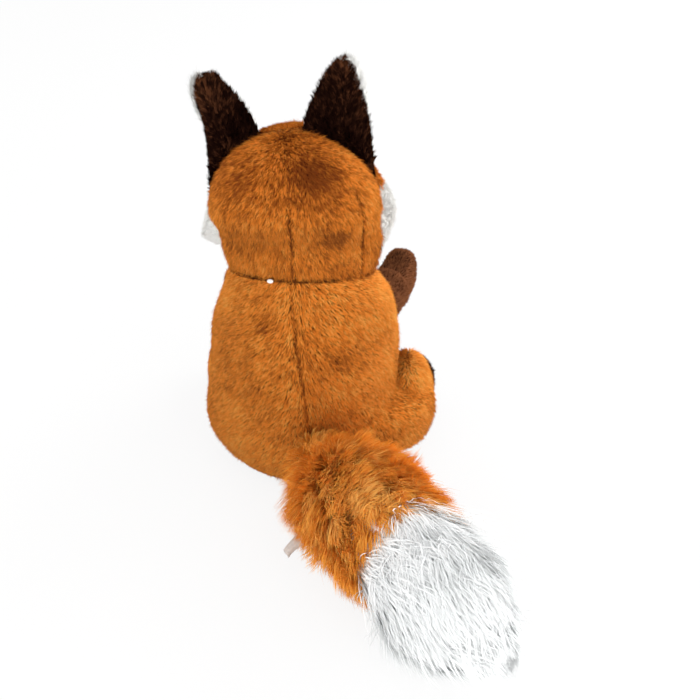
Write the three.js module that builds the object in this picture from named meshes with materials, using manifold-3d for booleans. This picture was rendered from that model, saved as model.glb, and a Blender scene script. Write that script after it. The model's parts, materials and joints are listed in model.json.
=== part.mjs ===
import * as THREE from "three";
import { mergeVertices } from "three/addons/utils/BufferGeometryUtils.js";
import Module from "manifold-3d";

// A plush fox glove puppet that sits on its seat panel. Millimetres and degrees, +Z up.
// The fox faces -Y and its left side is +X. A hand goes in through the seat, a finger into the
// head and one into each arm. Head, ears, arms, paws, legs and tail bend at their seams.

// Cloth, clearances and the fineness of the round surfaces
const GAP = 0.3;
const PLUSH = 3;
const LINING = 1.2;
const BODY_SIDES = 20;
const BODY_ROWS = 10;
const HEAD_SIDES = 20;
const HEAD_ROWS = 11;
const NECK_SIDES = 24;
const LIMB_SIDES = 12;
const TAIL_SIDES = 18;
const DISH_SIDES = 16;
const BAR_SIDES = 12;
const BALL_ROWS = 4;
const REACH = 500; // longer than the puppet, for cutting planes

// Body: half-widths of the level it has at each height, and how far that level leans back
const NECK_RADIUS = 48.5;
const NECK_HEIGHT = 144.5;
const NECK_LEAN = 19;
const BODY_LEVELS = [
  { height: 0, lean: 0, left: 56, right: 52, back: 52, front: 46 },
  { height: 7, lean: 0, left: 65, right: 61, back: 59.5, front: 52 },
  { height: 28, lean: 0, left: 73.5, right: 68, back: 65.5, front: 58 },
  { height: 65, lean: 5, left: 69, right: 67, back: 67, front: 60 },
  { height: 100, lean: 11, left: 65, right: 65, back: 64, front: 56 },
  { height: 128, lean: 16, left: 57, right: 60, back: 56, front: 50 },
  {
    height: NECK_HEIGHT,
    lean: NECK_LEAN,
    left: NECK_RADIUS,
    right: NECK_RADIUS,
    back: NECK_RADIUS,
    front: NECK_RADIUS,
  },
];
const SEAT_HEIGHT = 8;
const BELLY_HALF_ANGLE = 55;
const SEAM_TOP = { x: -0.5, z: 150 };
const SEAM_BOTTOM = { x: -15, z: 36 };

// Hand opening and the space for the hand, whose top lies level with the arms
const ARM_HEIGHT = 93;
const HAND_HALF_WIDTH = 43;
const HAND_HALF_DEPTH = 31;
const HAND_CENTRE_Y = 2;
const HAND_SHOULDER = ARM_HEIGHT - 9;
const HAND_TOP = ARM_HEIGHT + 13;
const HEM_WIDTH = 4;
const HEM_HEIGHT = 5;
const FINGER_RADIUS = 11;
const FINGER_HOLE = 14;

// Neck: the head is a ball in a dish, with a band of cloth between
const NECK_PIVOT_RISE = 20;
const NECK_BALL = 48;
const TAPE = 1.2;
const TAPE_TOP_ANGLE = -28;
const TAPE_BOTTOM_ANGLE = -44;

// Head, measured from the neck pivot
const HEAD_ROLL = 8.7;
const SKULL_CENTRE = new THREE.Vector3(0, 3.5, 22.6);
const SKULL = new THREE.Vector3(57, 55, 54);
const CHEEK_BULGE = 13.5;
const CHEEK_SPREAD = 22;
const CHEEK_TURN = 79;
const CHEEK_RISE = 3;
const CHEEK_FADE = { from: -15, over: 14 };
const NECK_FADE = { from: -11, over: 26 };
const BROW_HEIGHT = 29;
const TUBE_WALL = 1.2;
const TUBE_TOP = 18;

// Muzzle, eyes and nose
const MUZZLE_DROP = 14;
const MUZZLE_LENGTH = 86.5;
const MUZZLE_ROWS = [
  { along: 0.393 * MUZZLE_LENGTH, wide: 33, high: 28 },
  { along: 0.578 * MUZZLE_LENGTH, wide: 29, high: 24 },
  { along: 0.763 * MUZZLE_LENGTH, wide: 21, high: 17.5 },
  { along: 0.879 * MUZZLE_LENGTH, wide: 15, high: 13 },
  { along: 0.948 * MUZZLE_LENGTH, wide: 10.5, high: 9.5 },
];
const EYE_TURN = 33;
const EYE_RISE = 37;
const EYE_RADIUS = 7;
const EYE_DOME = 5;
const SHANK_RADIUS = 2.2;
const SHANK_LENGTH = 10;
const SHANK_SIDES = 8;
const WASHER_RADIUS = 6;
const NOSE_WASHER_RADIUS = 3.6;
const WASHER_THICKNESS = 1.8;
const NOSE = { wide: 9, deep: 7, high: 7, sunk: 3.5, lift: 2.5 };
const STITCH_RADIUS = 0.9;
const MOUTH_HALF_ANGLE = 62;
const MOUTH_ALONG = 0.786 * MUZZLE_LENGTH;

// Ears, sewn along the seam that runs over the head
const EAR_TURN = 41.5;
const EAR_HALF_ANGLE = 27;
const EAR_HEIGHT = 53;
const EAR_LEAN = 8;
const EAR_BULGE = 5;
const EAR_THICKNESS = 5;
const EAR_HEM = 1.2;
const EAR_CUP = 7;
const EAR_SEAT_GAP = 0.7;

// Arms: a sleeve on a ball root, and a mitten paw on a smaller ball
const ARM_BALL = 18;
const ARM_SEAT = 5; // how far the pivot lies outside the body
const SLEEVE_ROWS = [
  { along: 9, wide: 17, high: 17 },
  { along: 14, wide: 17.5, high: 18 },
];
const SLEEVE_BACK = 15;
const SLEEVE_END = 19;
const SLEEVE_END_RADIUS = 18;
const WRIST_ALONG = 24;
const PAW_BALL = 14.5;
const PAW_BORE_DEPTH = 18;
const PAW_ROWS = [
  { along: 8, wide: 14, high: 17 },
  { along: 16, wide: 13.5, high: 21 },
  { along: 25, wide: 12, high: 19 },
  { along: 32, wide: 8, high: 13 },
];
const PAW_LENGTH = 36;
const ARM_AIMS = {
  left: { seat: 46, aim: new THREE.Vector3(0.2, -0.977, 0.08) },
  right: { seat: 46, aim: new THREE.Vector3(-0.31, -0.95, 0.06) },
};

// Legs: a flat round haunch that turns against the body's side, with a foot at its front edge
const HAUNCH_SIDES = 18;
const HAUNCH_ROWS = [
  { along: 7, wide: 28, high: 28 },
  { along: 15, wide: 33, high: 33 },
  { along: 23, wide: 34, high: 34 },
  { along: 31, wide: 29.5, high: 29.5 },
  { along: 37, wide: 20, high: 20 },
];
const HAUNCH_INSIDE = 20;
const HAUNCH_THICKNESS = 41;
const HAUNCH_HEIGHT = 35;
const HAUNCH_OPENING = 5;
const FOOT = { forward: 37, drop: 12, along: 24, deep: 19, high: 22.5, wide: 17.5 };
const LEG_PLACES = {
  left: { inside: 42, y: -36 },
  right: { inside: 51, y: -12 },
};

// Tail, lying on the floor behind the fox
const TAIL_ROOT = new THREE.Vector3(-19, 72, 39);
const TAIL_AIM = new THREE.Vector3(-0.59, 0.807, 0);
const TAIL_BALL = 22;
const TAIL_ROWS = [
  { along: 14, wide: 23, high: 23 },
  { along: 34, wide: 34, high: 33 },
  { along: 58, wide: 38, high: 37.5 },
];
const TAIL_SEAM = 98; // from the root pivot to the tip's pivot
const TAIL_END = 84;
const TAIL_END_RADIUS = 37.8;
const TIP_BALL = 35.5;
const TIP_DISH_GAP = 0.5;
const TIP_ROWS = [
  { along: 18, wide: 37, high: 36.5 },
  { along: 40, wide: 39, high: 38 },
  { along: 66, wide: 33, high: 32 },
  { along: 86, wide: 21, high: 20 },
];
const TIP_LENGTH = 99;
const TAIL_CLOTH = 4;
const TAIL_COVER_BACK = 10;
const TIP_COVER_BACK = 17;

// Small trim
const LABEL = { width: 14, length: 16, thickness: 0.9, along: 44, turn: 200 };
const BARB = { radius: 1.2, length: 4, x: 12.5, drop: 3 };

const COLOURS = {
  rust: "#bb6c2c",
  longRust: "#b56a26",
  brown: "#4a2c20",
  white: "#efece2",
  cotton: "#e6dfd0",
  wadding: "#f1efe9",
  card: "#b99b6e",
  black: "#17120f",
  label: "#d9c9b6",
  thread: "#3a251c",
};

const wasm = await Module();
wasm.setup();

const UP = new THREE.Vector3(0, 0, 1);
const radians = THREE.MathUtils.degToRad;
const vec = (x, y, z) => new THREE.Vector3(x, y, z);

// Solids: a closed geometry in, a closed geometry out
function solidOf(geometry) {
  const bare = geometry.clone();
  bare.deleteAttribute("normal");
  bare.deleteAttribute("uv");
  const merged = mergeVertices(bare, 1e-3);
  const vertProperties = merged.attributes.position.array;
  const triVerts = new Uint32Array(merged.index.array);
  return new wasm.Manifold(new wasm.Mesh({ numProp: 3, vertProperties, triVerts }));
}

function geometryOf(solid) {
  const mesh = solid.getMesh();
  const geometry = new THREE.BufferGeometry();
  geometry.setAttribute("position", new THREE.BufferAttribute(mesh.vertProperties, 3));
  geometry.setIndex(new THREE.BufferAttribute(mesh.triVerts, 1));
  geometry.computeVertexNormals();
  return geometry;
}

function cut(solid, ...tools) {
  return tools.reduce((left, tool) => left.subtract(tool), solid);
}

// Rings of points, in order from one end of a solid to the other, each anticlockwise seen from
// the far end. The first and last rings are closed to the middle point given for that end.
function ringSolid(rings, first, last) {
  const count = rings[0].length;
  const points = [...rings.flat(), first, last];
  const index = [];
  const at = (row, i) => row * count + (i % count);
  for (let row = 0; row + 1 < rings.length; row++) {
    for (let i = 0; i < count; i++) {
      index.push(at(row, i), at(row, i + 1), at(row + 1, i + 1));
      index.push(at(row, i), at(row + 1, i + 1), at(row + 1, i));
    }
  }
  const start = points.length - 2;
  const end = points.length - 1;
  const top = rings.length - 1;
  for (let i = 0; i < count; i++) {
    index.push(start, at(0, i + 1), at(0, i));
    index.push(end, at(top, i), at(top, i + 1));
  }
  const geometry = new THREE.BufferGeometry().setFromPoints(points);
  geometry.setIndex(index);
  return solidOf(geometry);
}

// A leaf of cloth between two grids of points, near and far, whose rows run up and columns across.
// The near grid faces whoever sees its columns run to the right.
function leafSolid(near, far) {
  const rows = near.length;
  const columns = near[0].length;
  const points = [...near.flat(), ...far.flat()];
  const behind = rows * columns;
  const at = (row, column) => row * columns + column;
  const index = [];
  for (let row = 0; row + 1 < rows; row++) {
    for (let column = 0; column + 1 < columns; column++) {
      const [a, b] = [at(row, column), at(row, column + 1)];
      const [c, d] = [at(row + 1, column + 1), at(row + 1, column)];
      index.push(a, b, c, a, c, d);
      index.push(behind + a, behind + c, behind + b, behind + a, behind + d, behind + c);
    }
  }
  const edge = [];
  for (let column = 0; column < columns; column++) edge.push(at(0, column));
  for (let row = 1; row < rows; row++) edge.push(at(row, columns - 1));
  for (let column = columns - 2; column >= 0; column--) edge.push(at(rows - 1, column));
  for (let row = rows - 2; row > 0; row--) edge.push(at(row, 0));
  edge.forEach((a, i) => {
    const b = edge[(i + 1) % edge.length];
    index.push(b, a, behind + a, b, behind + a, behind + b);
  });
  const geometry = new THREE.BufferGeometry().setFromPoints(points);
  geometry.setIndex(index);
  return solidOf(geometry);
}

// Solids with round or oval sections on their own +Z axis, one row for each height
function axialSolid(rows, sides = LIMB_SIDES) {
  const isPoint = (row) => row.wide === 0;
  const ring = ({ along, wide, high }) =>
    Array.from({ length: sides }, (_, i) => {
      const turn = (2 * Math.PI * i) / sides;
      return vec(wide * Math.cos(turn), high * Math.sin(turn), along);
    });
  const rings = rows.filter((row) => !isPoint(row)).map(ring);
  const first = vec(0, 0, rows[0].along);
  const last = vec(0, 0, rows[rows.length - 1].along);
  return ringSolid(rings, first, last);
}

// The rows of a ball about the origin, from its lower pole up to a height on the axis
function ballRows(radius, upTo) {
  const full = Math.acos(-upTo / radius);
  return Array.from({ length: BALL_ROWS + 1 }, (_, i) => {
    const turn = (full * i) / BALL_ROWS;
    const round = radius * Math.sin(turn);
    return { along: -radius * Math.cos(turn), wide: round, high: round };
  });
}

const point = (along) => ({ along, wide: 0, high: 0 });

// Rows made larger by an offset all round, which leaves the heights as they are
const grown = (rows, by) =>
  rows.map((row) => (row.wide ? { along: row.along, wide: row.wide + by, high: row.high + by } : row));

// The row between those given, at a height on the axis
function rowAt(rows, along) {
  const before = rows.findLast((row) => row.along <= along);
  const after = rows.find((row) => row.along > along);
  const part = (along - before.along) / (after.along - before.along);
  const between = (key) => THREE.MathUtils.lerp(before[key], after[key], part);
  return { along, wide: between("wide"), high: between("high") };
}

function ball(centre, radius, sides = DISH_SIDES) {
  const geometry = new THREE.SphereGeometry(radius, sides, sides / 2);
  return solidOf(geometry.translate(centre.x, centre.y, centre.z));
}

// A ball to cut with: its flat faces, not its corners, lie at the radius, so a ball of that radius fits
function dish(centre, radius, sides = DISH_SIDES) {
  return ball(centre, radius / Math.cos(Math.PI / sides) ** 2, sides);
}

// A round bar from one point towards another
function bar(from, to, radius, sides = BAR_SIDES) {
  const length = from.distanceTo(to);
  const geometry = new THREE.CylinderGeometry(radius, radius, length, sides);
  geometry.translate(0, length / 2, 0);
  const aim = to.clone().sub(from).normalize();
  geometry.applyQuaternion(new THREE.Quaternion().setFromUnitVectors(vec(0, 1, 0), aim));
  return solidOf(geometry.translate(from.x, from.y, from.z));
}

// Everything on the side of a plane that its normal points to
function halfSpace(onPlane, normal) {
  const geometry = new THREE.BoxGeometry(REACH, REACH, REACH);
  geometry.translate(0, 0, REACH / 2);
  geometry.applyQuaternion(new THREE.Quaternion().setFromUnitVectors(UP, normal.clone().normalize()));
  return solidOf(geometry.translate(onPlane.x, onPlane.y, onPlane.z));
}

const above = (height) => halfSpace(vec(0, 0, height), UP);
const below = (height) => halfSpace(vec(0, 0, height), vec(0, 0, -1));

// A group at a pivot whose own +Z points along a limb and whose own +Y stays as near up as it can
function limbFrame(pivot, aim) {
  const group = new THREE.Group();
  const along = aim.clone().normalize();
  const wide = UP.clone().cross(along).normalize();
  const high = along.clone().cross(wide);
  group.position.copy(pivot);
  group.quaternion.setFromRotationMatrix(new THREE.Matrix4().makeBasis(wide, high, along));
  return group;
}

// The largest of the bodies that a cut leaves, without the slivers at its corners
function largest(solid) {
  return solid.decompose().reduce((most, body) => (body.volume() > most.volume() ? body : most));
}

function addPiece(parent, name, solid, colour, roughness = 0.95) {
  const material = new THREE.MeshStandardMaterial({ color: colour, roughness, metalness: 0 });
  const mesh = new THREE.Mesh(geometryOf(largest(solid)), material);
  mesh.name = name;
  parent.add(mesh);
  return mesh;
}

// The body's levels in between, by a smooth curve through those given
const LEVEL_KEYS = ["height", "lean", "left", "right", "back", "front"];
const levelCurve = new THREE.CubicInterpolant(
  BODY_LEVELS.map((_, i) => i),
  BODY_LEVELS.flatMap((level) => LEVEL_KEYS.map((key) => level[key])),
  LEVEL_KEYS.length,
);

function bodyPoint(station, turn, inset) {
  const [height, lean, left, right, back, front] = levelCurve.evaluate(station);
  const x = Math.cos(turn);
  const y = Math.sin(turn);
  const wide = x * ((x > 0 ? left : right) - inset);
  const deep = y * ((y > 0 ? back : front) - inset);
  const tilt = radians(lean);
  return vec(wide, deep * Math.cos(tilt), height + deep * Math.sin(tilt));
}

function bodySolid(inset) {
  const last = BODY_LEVELS.length - 1;
  const rings = Array.from({ length: BODY_ROWS }, (_, row) =>
    Array.from({ length: BODY_SIDES }, (_, i) =>
      bodyPoint((last * row) / (BODY_ROWS - 1), (2 * Math.PI * i) / BODY_SIDES, inset),
    ),
  );
  return ringSolid(rings, vec(0, 0, 0), vec(0, 0, NECK_HEIGHT));
}

// Where the body's outside lies at a height and a turn, and the way it faces there
function bodySurface(height, turn) {
  const last = BODY_LEVELS.length - 1;
  let low = 0;
  let high = last;
  while (high - low > 1e-6) {
    const middle = (low + high) / 2;
    if (bodyPoint(middle, turn, 0).z < height) low = middle;
    else high = middle;
  }
  const step = 1e-3;
  const here = bodyPoint(low, turn, 0);
  const up = bodyPoint(low + step, turn, 0).sub(here);
  const round = bodyPoint(low, turn + step, 0).sub(here);
  return { here, normal: round.cross(up).normalize() };
}

// Neck: the axis that the head turns on, and the pivot above the body's top level
const neckTilt = radians(NECK_LEAN);
const neckAxis = vec(0, -Math.sin(neckTilt), Math.cos(neckTilt));
const neckPivot = vec(0, 0, NECK_HEIGHT).addScaledVector(neckAxis, NECK_PIVOT_RISE);
const tapeInside = (NECK_BALL + GAP) / Math.cos(Math.PI / NECK_SIDES);
const tapeOutside = tapeInside + TAPE;
const neckDish = dish(neckPivot, tapeOutside + GAP, NECK_SIDES);

// Arms and legs: where each joins the body
function armPivot(side) {
  const turn = radians(side === "left" ? -ARM_AIMS.left.seat : ARM_AIMS.right.seat - 180);
  const { here, normal } = bodySurface(ARM_HEIGHT, turn);
  return here.addScaledVector(normal, ARM_SEAT);
}

const armPivots = { left: armPivot("left"), right: armPivot("right") };

// The way of a finger from the hand's space into an arm
function armHole(side) {
  const inside = vec(0, HAND_CENTRE_Y, ARM_HEIGHT - FINGER_HOLE);
  return bar(inside, armPivots[side], FINGER_RADIUS);
}

const legFrames = {
  left: limbFrame(vec(LEG_PLACES.left.inside, LEG_PLACES.left.y, HAUNCH_HEIGHT), vec(1, 0, 0)),
  right: limbFrame(vec(-LEG_PLACES.right.inside, LEG_PLACES.right.y, HAUNCH_HEIGHT), vec(-1, 0, 0)),
};

// Room for the haunch to turn: its corners sweep a circle that its flat sides lie inside
const haunchWidest = Math.max(...HAUNCH_ROWS.map((row) => row.wide));
const haunchClearance = GAP + haunchWidest * (1 / Math.cos(Math.PI / HAUNCH_SIDES) - 1);

const puppet = new THREE.Group();
puppet.name = "fox_hand_puppet";

// Space for the hand: an upright oval with a domed top, larger or smaller by an offset
function handSpace(offset, floor) {
  const wide = HAND_HALF_WIDTH + offset;
  const high = HAND_HALF_DEPTH + offset;
  const dome = HAND_TOP - HAND_SHOULDER + offset;
  const rows = [
    { along: floor, wide, high },
    { along: HAND_SHOULDER, wide, high },
    ...[30, 55, 75].map((turn) => ({
      along: HAND_SHOULDER + dome * Math.sin(radians(turn)),
      wide: wide * Math.cos(radians(turn)),
      high: high * Math.cos(radians(turn)),
    })),
    point(HAND_SHOULDER + dome),
  ];
  return axialSolid(rows, BODY_SIDES).translate([0, HAND_CENTRE_Y, 0]);
}

// Body: plush panels, wadding, lining and hem, with dishes for the head and the limbs
function addBody() {
  const fingerHoles = [
    bar(vec(0, neckPivot.y, HAND_SHOULDER), neckPivot, FINGER_HOLE),
    ...["left", "right"].map(armHole),
  ];
  const dishes = [
    neckDish,
    ...["left", "right"].map((side) => dish(armPivots[side], ARM_BALL + GAP)),
    ...["left", "right"].map((side) => placed(haunchSolid(haunchClearance), legFrames[side])),
    dish(TAIL_ROOT, TAIL_BALL + GAP),
  ];
  const shell = cut(
    bodySolid(0),
    bodySolid(PLUSH).intersect(above(PLUSH)),
    handSpace(LINING + HEM_WIDTH + 3 * GAP, -PLUSH).intersect(below(SEAT_HEIGHT)),
    ...dishes,
    ...fingerHoles,
  );
  addPiece(puppet, "seat_panel", shell.intersect(below(SEAT_HEIGHT)), COLOURS.rust);
  addPanels(shell.intersect(above(SEAT_HEIGHT + GAP)));
  addWadding(dishes, fingerHoles);
  addLining(fingerHoles);
  addBarb();
}

// Front panel between two side seams, and two back panels that meet at the slanting back seam
function addPanels(shell) {
  const edge = radians(BELLY_HALF_ANGLE);
  const wedge = (apex) => {
    const shape = new THREE.Shape();
    shape.moveTo(0, apex);
    shape.lineTo(-REACH * Math.sin(edge), apex - REACH * Math.cos(edge));
    shape.lineTo(REACH * Math.sin(edge), apex - REACH * Math.cos(edge));
    const options = { depth: REACH, bevelEnabled: false };
    return solidOf(new THREE.ExtrudeGeometry(shape, options));
  };
  addPiece(puppet, "belly_panel", shell.intersect(wedge(0)), COLOURS.rust);
  const back = shell.subtract(wedge(GAP / Math.sin(edge)));
  const seam = vec(SEAM_TOP.x - SEAM_BOTTOM.x, 0, SEAM_TOP.z - SEAM_BOTTOM.z).normalize();
  const leftward = vec(seam.z, 0, -seam.x);
  const onSeam = vec(SEAM_TOP.x, 0, SEAM_TOP.z);
  for (const [side, normal] of [["left", leftward], ["right", leftward.clone().negate()]]) {
    const half = halfSpace(onSeam.clone().addScaledVector(normal, GAP / 2), normal);
    addPiece(puppet, `back_panel_${side}`, back.intersect(half), COLOURS.rust);
  }
}

// Wadding: a back, a front and two sides, parted along the fingers' ways into the arms
function addWadding(dishes, fingerHoles) {
  const wadding = cut(
    bodySolid(PLUSH + GAP).intersect(above(PLUSH + GAP)),
    handSpace(LINING + GAP, -PLUSH),
    handSpace(LINING + HEM_WIDTH + 3 * GAP, -PLUSH).intersect(below(HEM_HEIGHT + GAP)),
    ...dishes,
    ...fingerHoles,
  );
  const middle = vec(0, HAND_CENTRE_Y, 0);
  const beside = (normal) => halfSpace(middle.clone().addScaledVector(normal, GAP / 2), normal);
  const behind = vec(0, 1, 0);
  addPiece(puppet, "back_wadding", wadding.intersect(beside(behind)), COLOURS.wadding);
  let chest = wadding.intersect(beside(behind.clone().negate()));
  for (const side of ["left", "right"]) {
    const way = armPivots[side].clone().sub(middle).setZ(0).normalize();
    const outward = UP.clone().cross(way).multiplyScalar(side === "left" ? 1 : -1);
    addPiece(puppet, `${side}_wadding`, chest.intersect(beside(outward)), COLOURS.wadding);
    chest = chest.intersect(beside(outward.clone().negate()));
  }
  addPiece(puppet, "front_wadding", chest, COLOURS.wadding);
}

function addLining(fingerHoles) {
  const lining = cut(handSpace(LINING, 0), handSpace(0, -PLUSH), ...fingerHoles);
  addPiece(puppet, "hand_lining", lining, COLOURS.cotton);
  const hem = cut(
    handSpace(LINING + HEM_WIDTH + GAP, 0).intersect(below(HEM_HEIGHT)),
    handSpace(LINING + GAP, -PLUSH),
  );
  addPiece(puppet, "hem_binding", hem, COLOURS.rust);
}

// The end of a price-tag barb, left in the neck seam
function addBarb() {
  const turn = Math.acos(BARB.x / NECK_RADIUS);
  const high = NECK_HEIGHT + NECK_RADIUS * Math.sin(turn) * Math.sin(neckTilt) - BARB.drop;
  const { here, normal } = bodySurface(high, turn);
  here.addScaledVector(normal, BARB.radius + GAP);
  const geometry = new THREE.CapsuleGeometry(BARB.radius, BARB.length - 2 * BARB.radius, 3, 10);
  geometry.rotateZ(Math.PI / 2).translate(here.x, here.y, here.z);
  addPiece(puppet, "tag_barb", solidOf(geometry), COLOURS.white, 0.4);
}

// Head: one round surface about the neck pivot, larger or smaller by an offset
const headFrame = new THREE.Group();
headFrame.position.copy(neckPivot);
headFrame.rotation.y = radians(HEAD_ROLL);
const neckAxisInHead = neckAxis.clone().applyQuaternion(headFrame.quaternion.clone().invert());

function headRadius(direction) {
  const scaled = direction.clone().divide(SKULL);
  const centre = SKULL_CENTRE.clone().divide(SKULL);
  const b = scaled.dot(centre);
  const a = scaled.lengthSq();
  const skull = (b + Math.sqrt(b * b - a * (centre.lengthSq() - 1))) / a;
  const rise = THREE.MathUtils.radToDeg(Math.asin(direction.dot(neckAxisInHead)));
  const fade = ({ from, over }) => THREE.MathUtils.smoothstep(rise, from, from + over);
  const round = THREE.MathUtils.lerp(NECK_BALL, Math.max(skull, NECK_BALL), fade(NECK_FADE));
  const cheek = direction.clone();
  cheek.x = Math.abs(cheek.x);
  const apart = THREE.MathUtils.radToDeg(cheek.angleTo(aimFrom(CHEEK_TURN, CHEEK_RISE)));
  const bulge = CHEEK_BULGE * Math.exp(-((apart / CHEEK_SPREAD) ** 2));
  return round + fade(CHEEK_FADE) * bulge;
}

// A direction from the front of the face, turned to the left and raised
function aimFrom(turn, rise) {
  const flat = Math.cos(radians(rise));
  return vec(flat * Math.sin(radians(turn)), -flat * Math.cos(radians(turn)), Math.sin(radians(rise)));
}

function headSolid(offset) {
  const toAxis = new THREE.Quaternion().setFromUnitVectors(UP, neckAxisInHead);
  const at = (polar, turn) => {
    const flat = Math.sin(polar);
    const way = vec(flat * Math.cos(turn), flat * Math.sin(turn), -Math.cos(polar));
    way.applyQuaternion(toAxis);
    return way.multiplyScalar(headRadius(way) + offset);
  };
  const rings = Array.from({ length: HEAD_ROWS - 1 }, (_, row) =>
    Array.from({ length: HEAD_SIDES }, (_, i) =>
      at((Math.PI * (row + 1)) / HEAD_ROWS, (2 * Math.PI * i) / HEAD_SIDES),
    ),
  );
  return ringSolid(rings, at(0, 0), at(Math.PI, 0));
}

// Muzzle: a cone on its own axis out of the middle of the skull
const muzzleFrame = limbFrame(SKULL_CENTRE, aimFrom(0, -MUZZLE_DROP));

function muzzleSolid(offset) {
  const rows = [...grown(MUZZLE_ROWS, offset), point(MUZZLE_LENGTH + offset)];
  return placed(axialSolid(rows), muzzleFrame);
}

// A solid carried from a frame's own axes to those of its parent, and one carried the other way
function placed(solid, frame) {
  frame.updateMatrix();
  return solid.transform(frame.matrix.toArray());
}

function brought(solid, frame) {
  frame.updateMatrix();
  return solid.transform(frame.matrix.clone().invert().toArray());
}

function addHead() {
  const behind = vec(0, 1, 0);
  const ring = neckAxisInHead.clone().multiplyScalar(-NECK_PIVOT_RISE);
  const skin = cut(
    headSolid(0),
    headSolid(-PLUSH),
    halfSpace(ring.clone().addScaledVector(neckAxisInHead, GAP), neckAxisInHead.clone().negate()),
  );
  const seam = vec(0, SKULL_CENTRE.y, 0);
  addPiece(headFrame, "head_back_panel", skin.intersect(halfSpace(seam, behind)), COLOURS.rust);
  const eyes = { left: eyeFrame(1), right: eyeFrame(-1) };
  const nose = noseFrame();
  const shanks = [eyes.left, eyes.right, nose].map((frame) => placed(shankBore(), frame));
  const pockets = [
    placed(washerPocket(WASHER_RADIUS), eyes.left),
    placed(washerPocket(WASHER_RADIUS), eyes.right),
    placed(washerPocket(NOSE_WASHER_RADIUS), nose),
  ];
  addFace(skin.intersect(halfSpace(vec(0, seam.y - GAP, 0), behind.clone().negate())), shanks);
  addStuffing(ring, [...shanks, ...pockets]);
  for (const side of ["left", "right"]) {
    addButton(eyes[side], `${side}_eye`, eyeSolid(), WASHER_RADIUS);
  }
  addButton(nose, "nose", noseSolid(nose), NOSE_WASHER_RADIUS);
  addMouth();
  puppet.add(headFrame);
}

function addFace(face, shanks) {
  const whole = cut(face, muzzleSolid(GAP), ...shanks);
  addPiece(headFrame, "forehead_panel", whole.intersect(above(BROW_HEIGHT)), COLOURS.rust);
  const cheeks = whole.intersect(below(BROW_HEIGHT - GAP));
  for (const [side, way] of [["left", 1], ["right", -1]]) {
    const half = halfSpace(vec((way * GAP) / 2, 0, 0), vec(way, 0, 0));
    addPiece(headFrame, `${side}_cheek_panel`, cheeks.intersect(half), COLOURS.white);
  }
  const muzzle = cut(muzzleSolid(0), muzzleSolid(-PLUSH), headSolid(-PLUSH), ...shanks);
  addPiece(headFrame, "muzzle", muzzle, COLOURS.white);
}

// Stuffing of the head, with the plug that sits in the body's dish and the finger's tube
function addStuffing(ring, hollows) {
  const tubeAxis = UP.clone().applyQuaternion(headFrame.quaternion.clone().invert());
  const tubeFoot = tubeAxis.clone().multiplyScalar(-NECK_BALL);
  const tubeHead = tubeAxis.clone().multiplyScalar(TUBE_TOP);
  const outer = FINGER_RADIUS + TUBE_WALL;
  const plug = ball(vec(0, 0, 0), NECK_BALL, HEAD_SIDES);
  const under = halfSpace(ring, neckAxisInHead.clone().negate());
  const stuffing = cut(
    headSolid(-PLUSH - GAP).add(muzzleSolid(-PLUSH - GAP)).add(plug.intersect(under)),
    bar(tubeFoot, tubeHead.clone().addScaledVector(tubeAxis, GAP), outer + GAP),
    ...hollows,
  );
  addPiece(headFrame, "head_stuffing", stuffing, COLOURS.wadding);
  const bottom = tubeAxis.clone().multiplyScalar(-NECK_BALL + PLUSH);
  const bore = bar(tubeFoot, tubeHead.clone().add(tubeAxis), FINGER_RADIUS);
  addPiece(headFrame, "head_finger_tube", bar(bottom, tubeHead, outer).subtract(bore), COLOURS.card);
}

// Eyes and nose: each has a shank through the cloth and a washer behind it
function eyeFrame(way) {
  const aim = aimFrom(way * EYE_TURN, EYE_RISE);
  const seat = aim.clone().multiplyScalar(headRadius(aim));
  const outward = seat.clone().sub(SKULL_CENTRE).divide(SKULL).divide(SKULL).normalize();
  return limbFrame(seat, outward);
}

function noseFrame() {
  const frame = limbFrame(SKULL_CENTRE, aimFrom(0, -MUZZLE_DROP));
  frame.translateZ(MUZZLE_LENGTH);
  return frame;
}

const shankBore = () =>
  bar(vec(0, 0, -SHANK_LENGTH - GAP), vec(0, 0, PLUSH), SHANK_RADIUS + GAP, SHANK_SIDES);
const facetDepth = SKULL.y * (1 - Math.cos(Math.PI / HEAD_SIDES));
const washerSeat = -PLUSH - 2 * GAP - facetDepth - WASHER_RADIUS ** 2 / (2 * SKULL.y);
const washerPocket = (radius) =>
  bar(vec(0, 0, -SHANK_LENGTH - GAP), vec(0, 0, -PLUSH), radius + GAP);

function eyeSolid() {
  const arc = [90, 60, 30, 0].map((turn) => {
    const angle = radians(90 - turn);
    return new THREE.Vector2(EYE_RADIUS * Math.sin(angle), GAP + EYE_DOME * Math.cos(angle));
  });
  const profile = [
    new THREE.Vector2(0, -SHANK_LENGTH),
    new THREE.Vector2(SHANK_RADIUS, -SHANK_LENGTH),
    new THREE.Vector2(SHANK_RADIUS, GAP),
    ...arc.reverse(),
  ];
  const geometry = new THREE.LatheGeometry(profile, LIMB_SIDES);
  return solidOf(geometry.rotateX(Math.PI / 2));
}

function noseSolid(frame) {
  const geometry = new THREE.SphereGeometry(1, LIMB_SIDES, 8);
  geometry.scale(NOSE.wide, NOSE.high, NOSE.deep);
  geometry.translate(0, NOSE.lift, -NOSE.sunk);
  const button = solidOf(geometry).subtract(brought(muzzleSolid(GAP), frame));
  const shank = bar(vec(0, 0, -SHANK_LENGTH), vec(0, 0, NOSE.deep / 2), SHANK_RADIUS, SHANK_SIDES);
  return button.add(shank);
}

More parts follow.
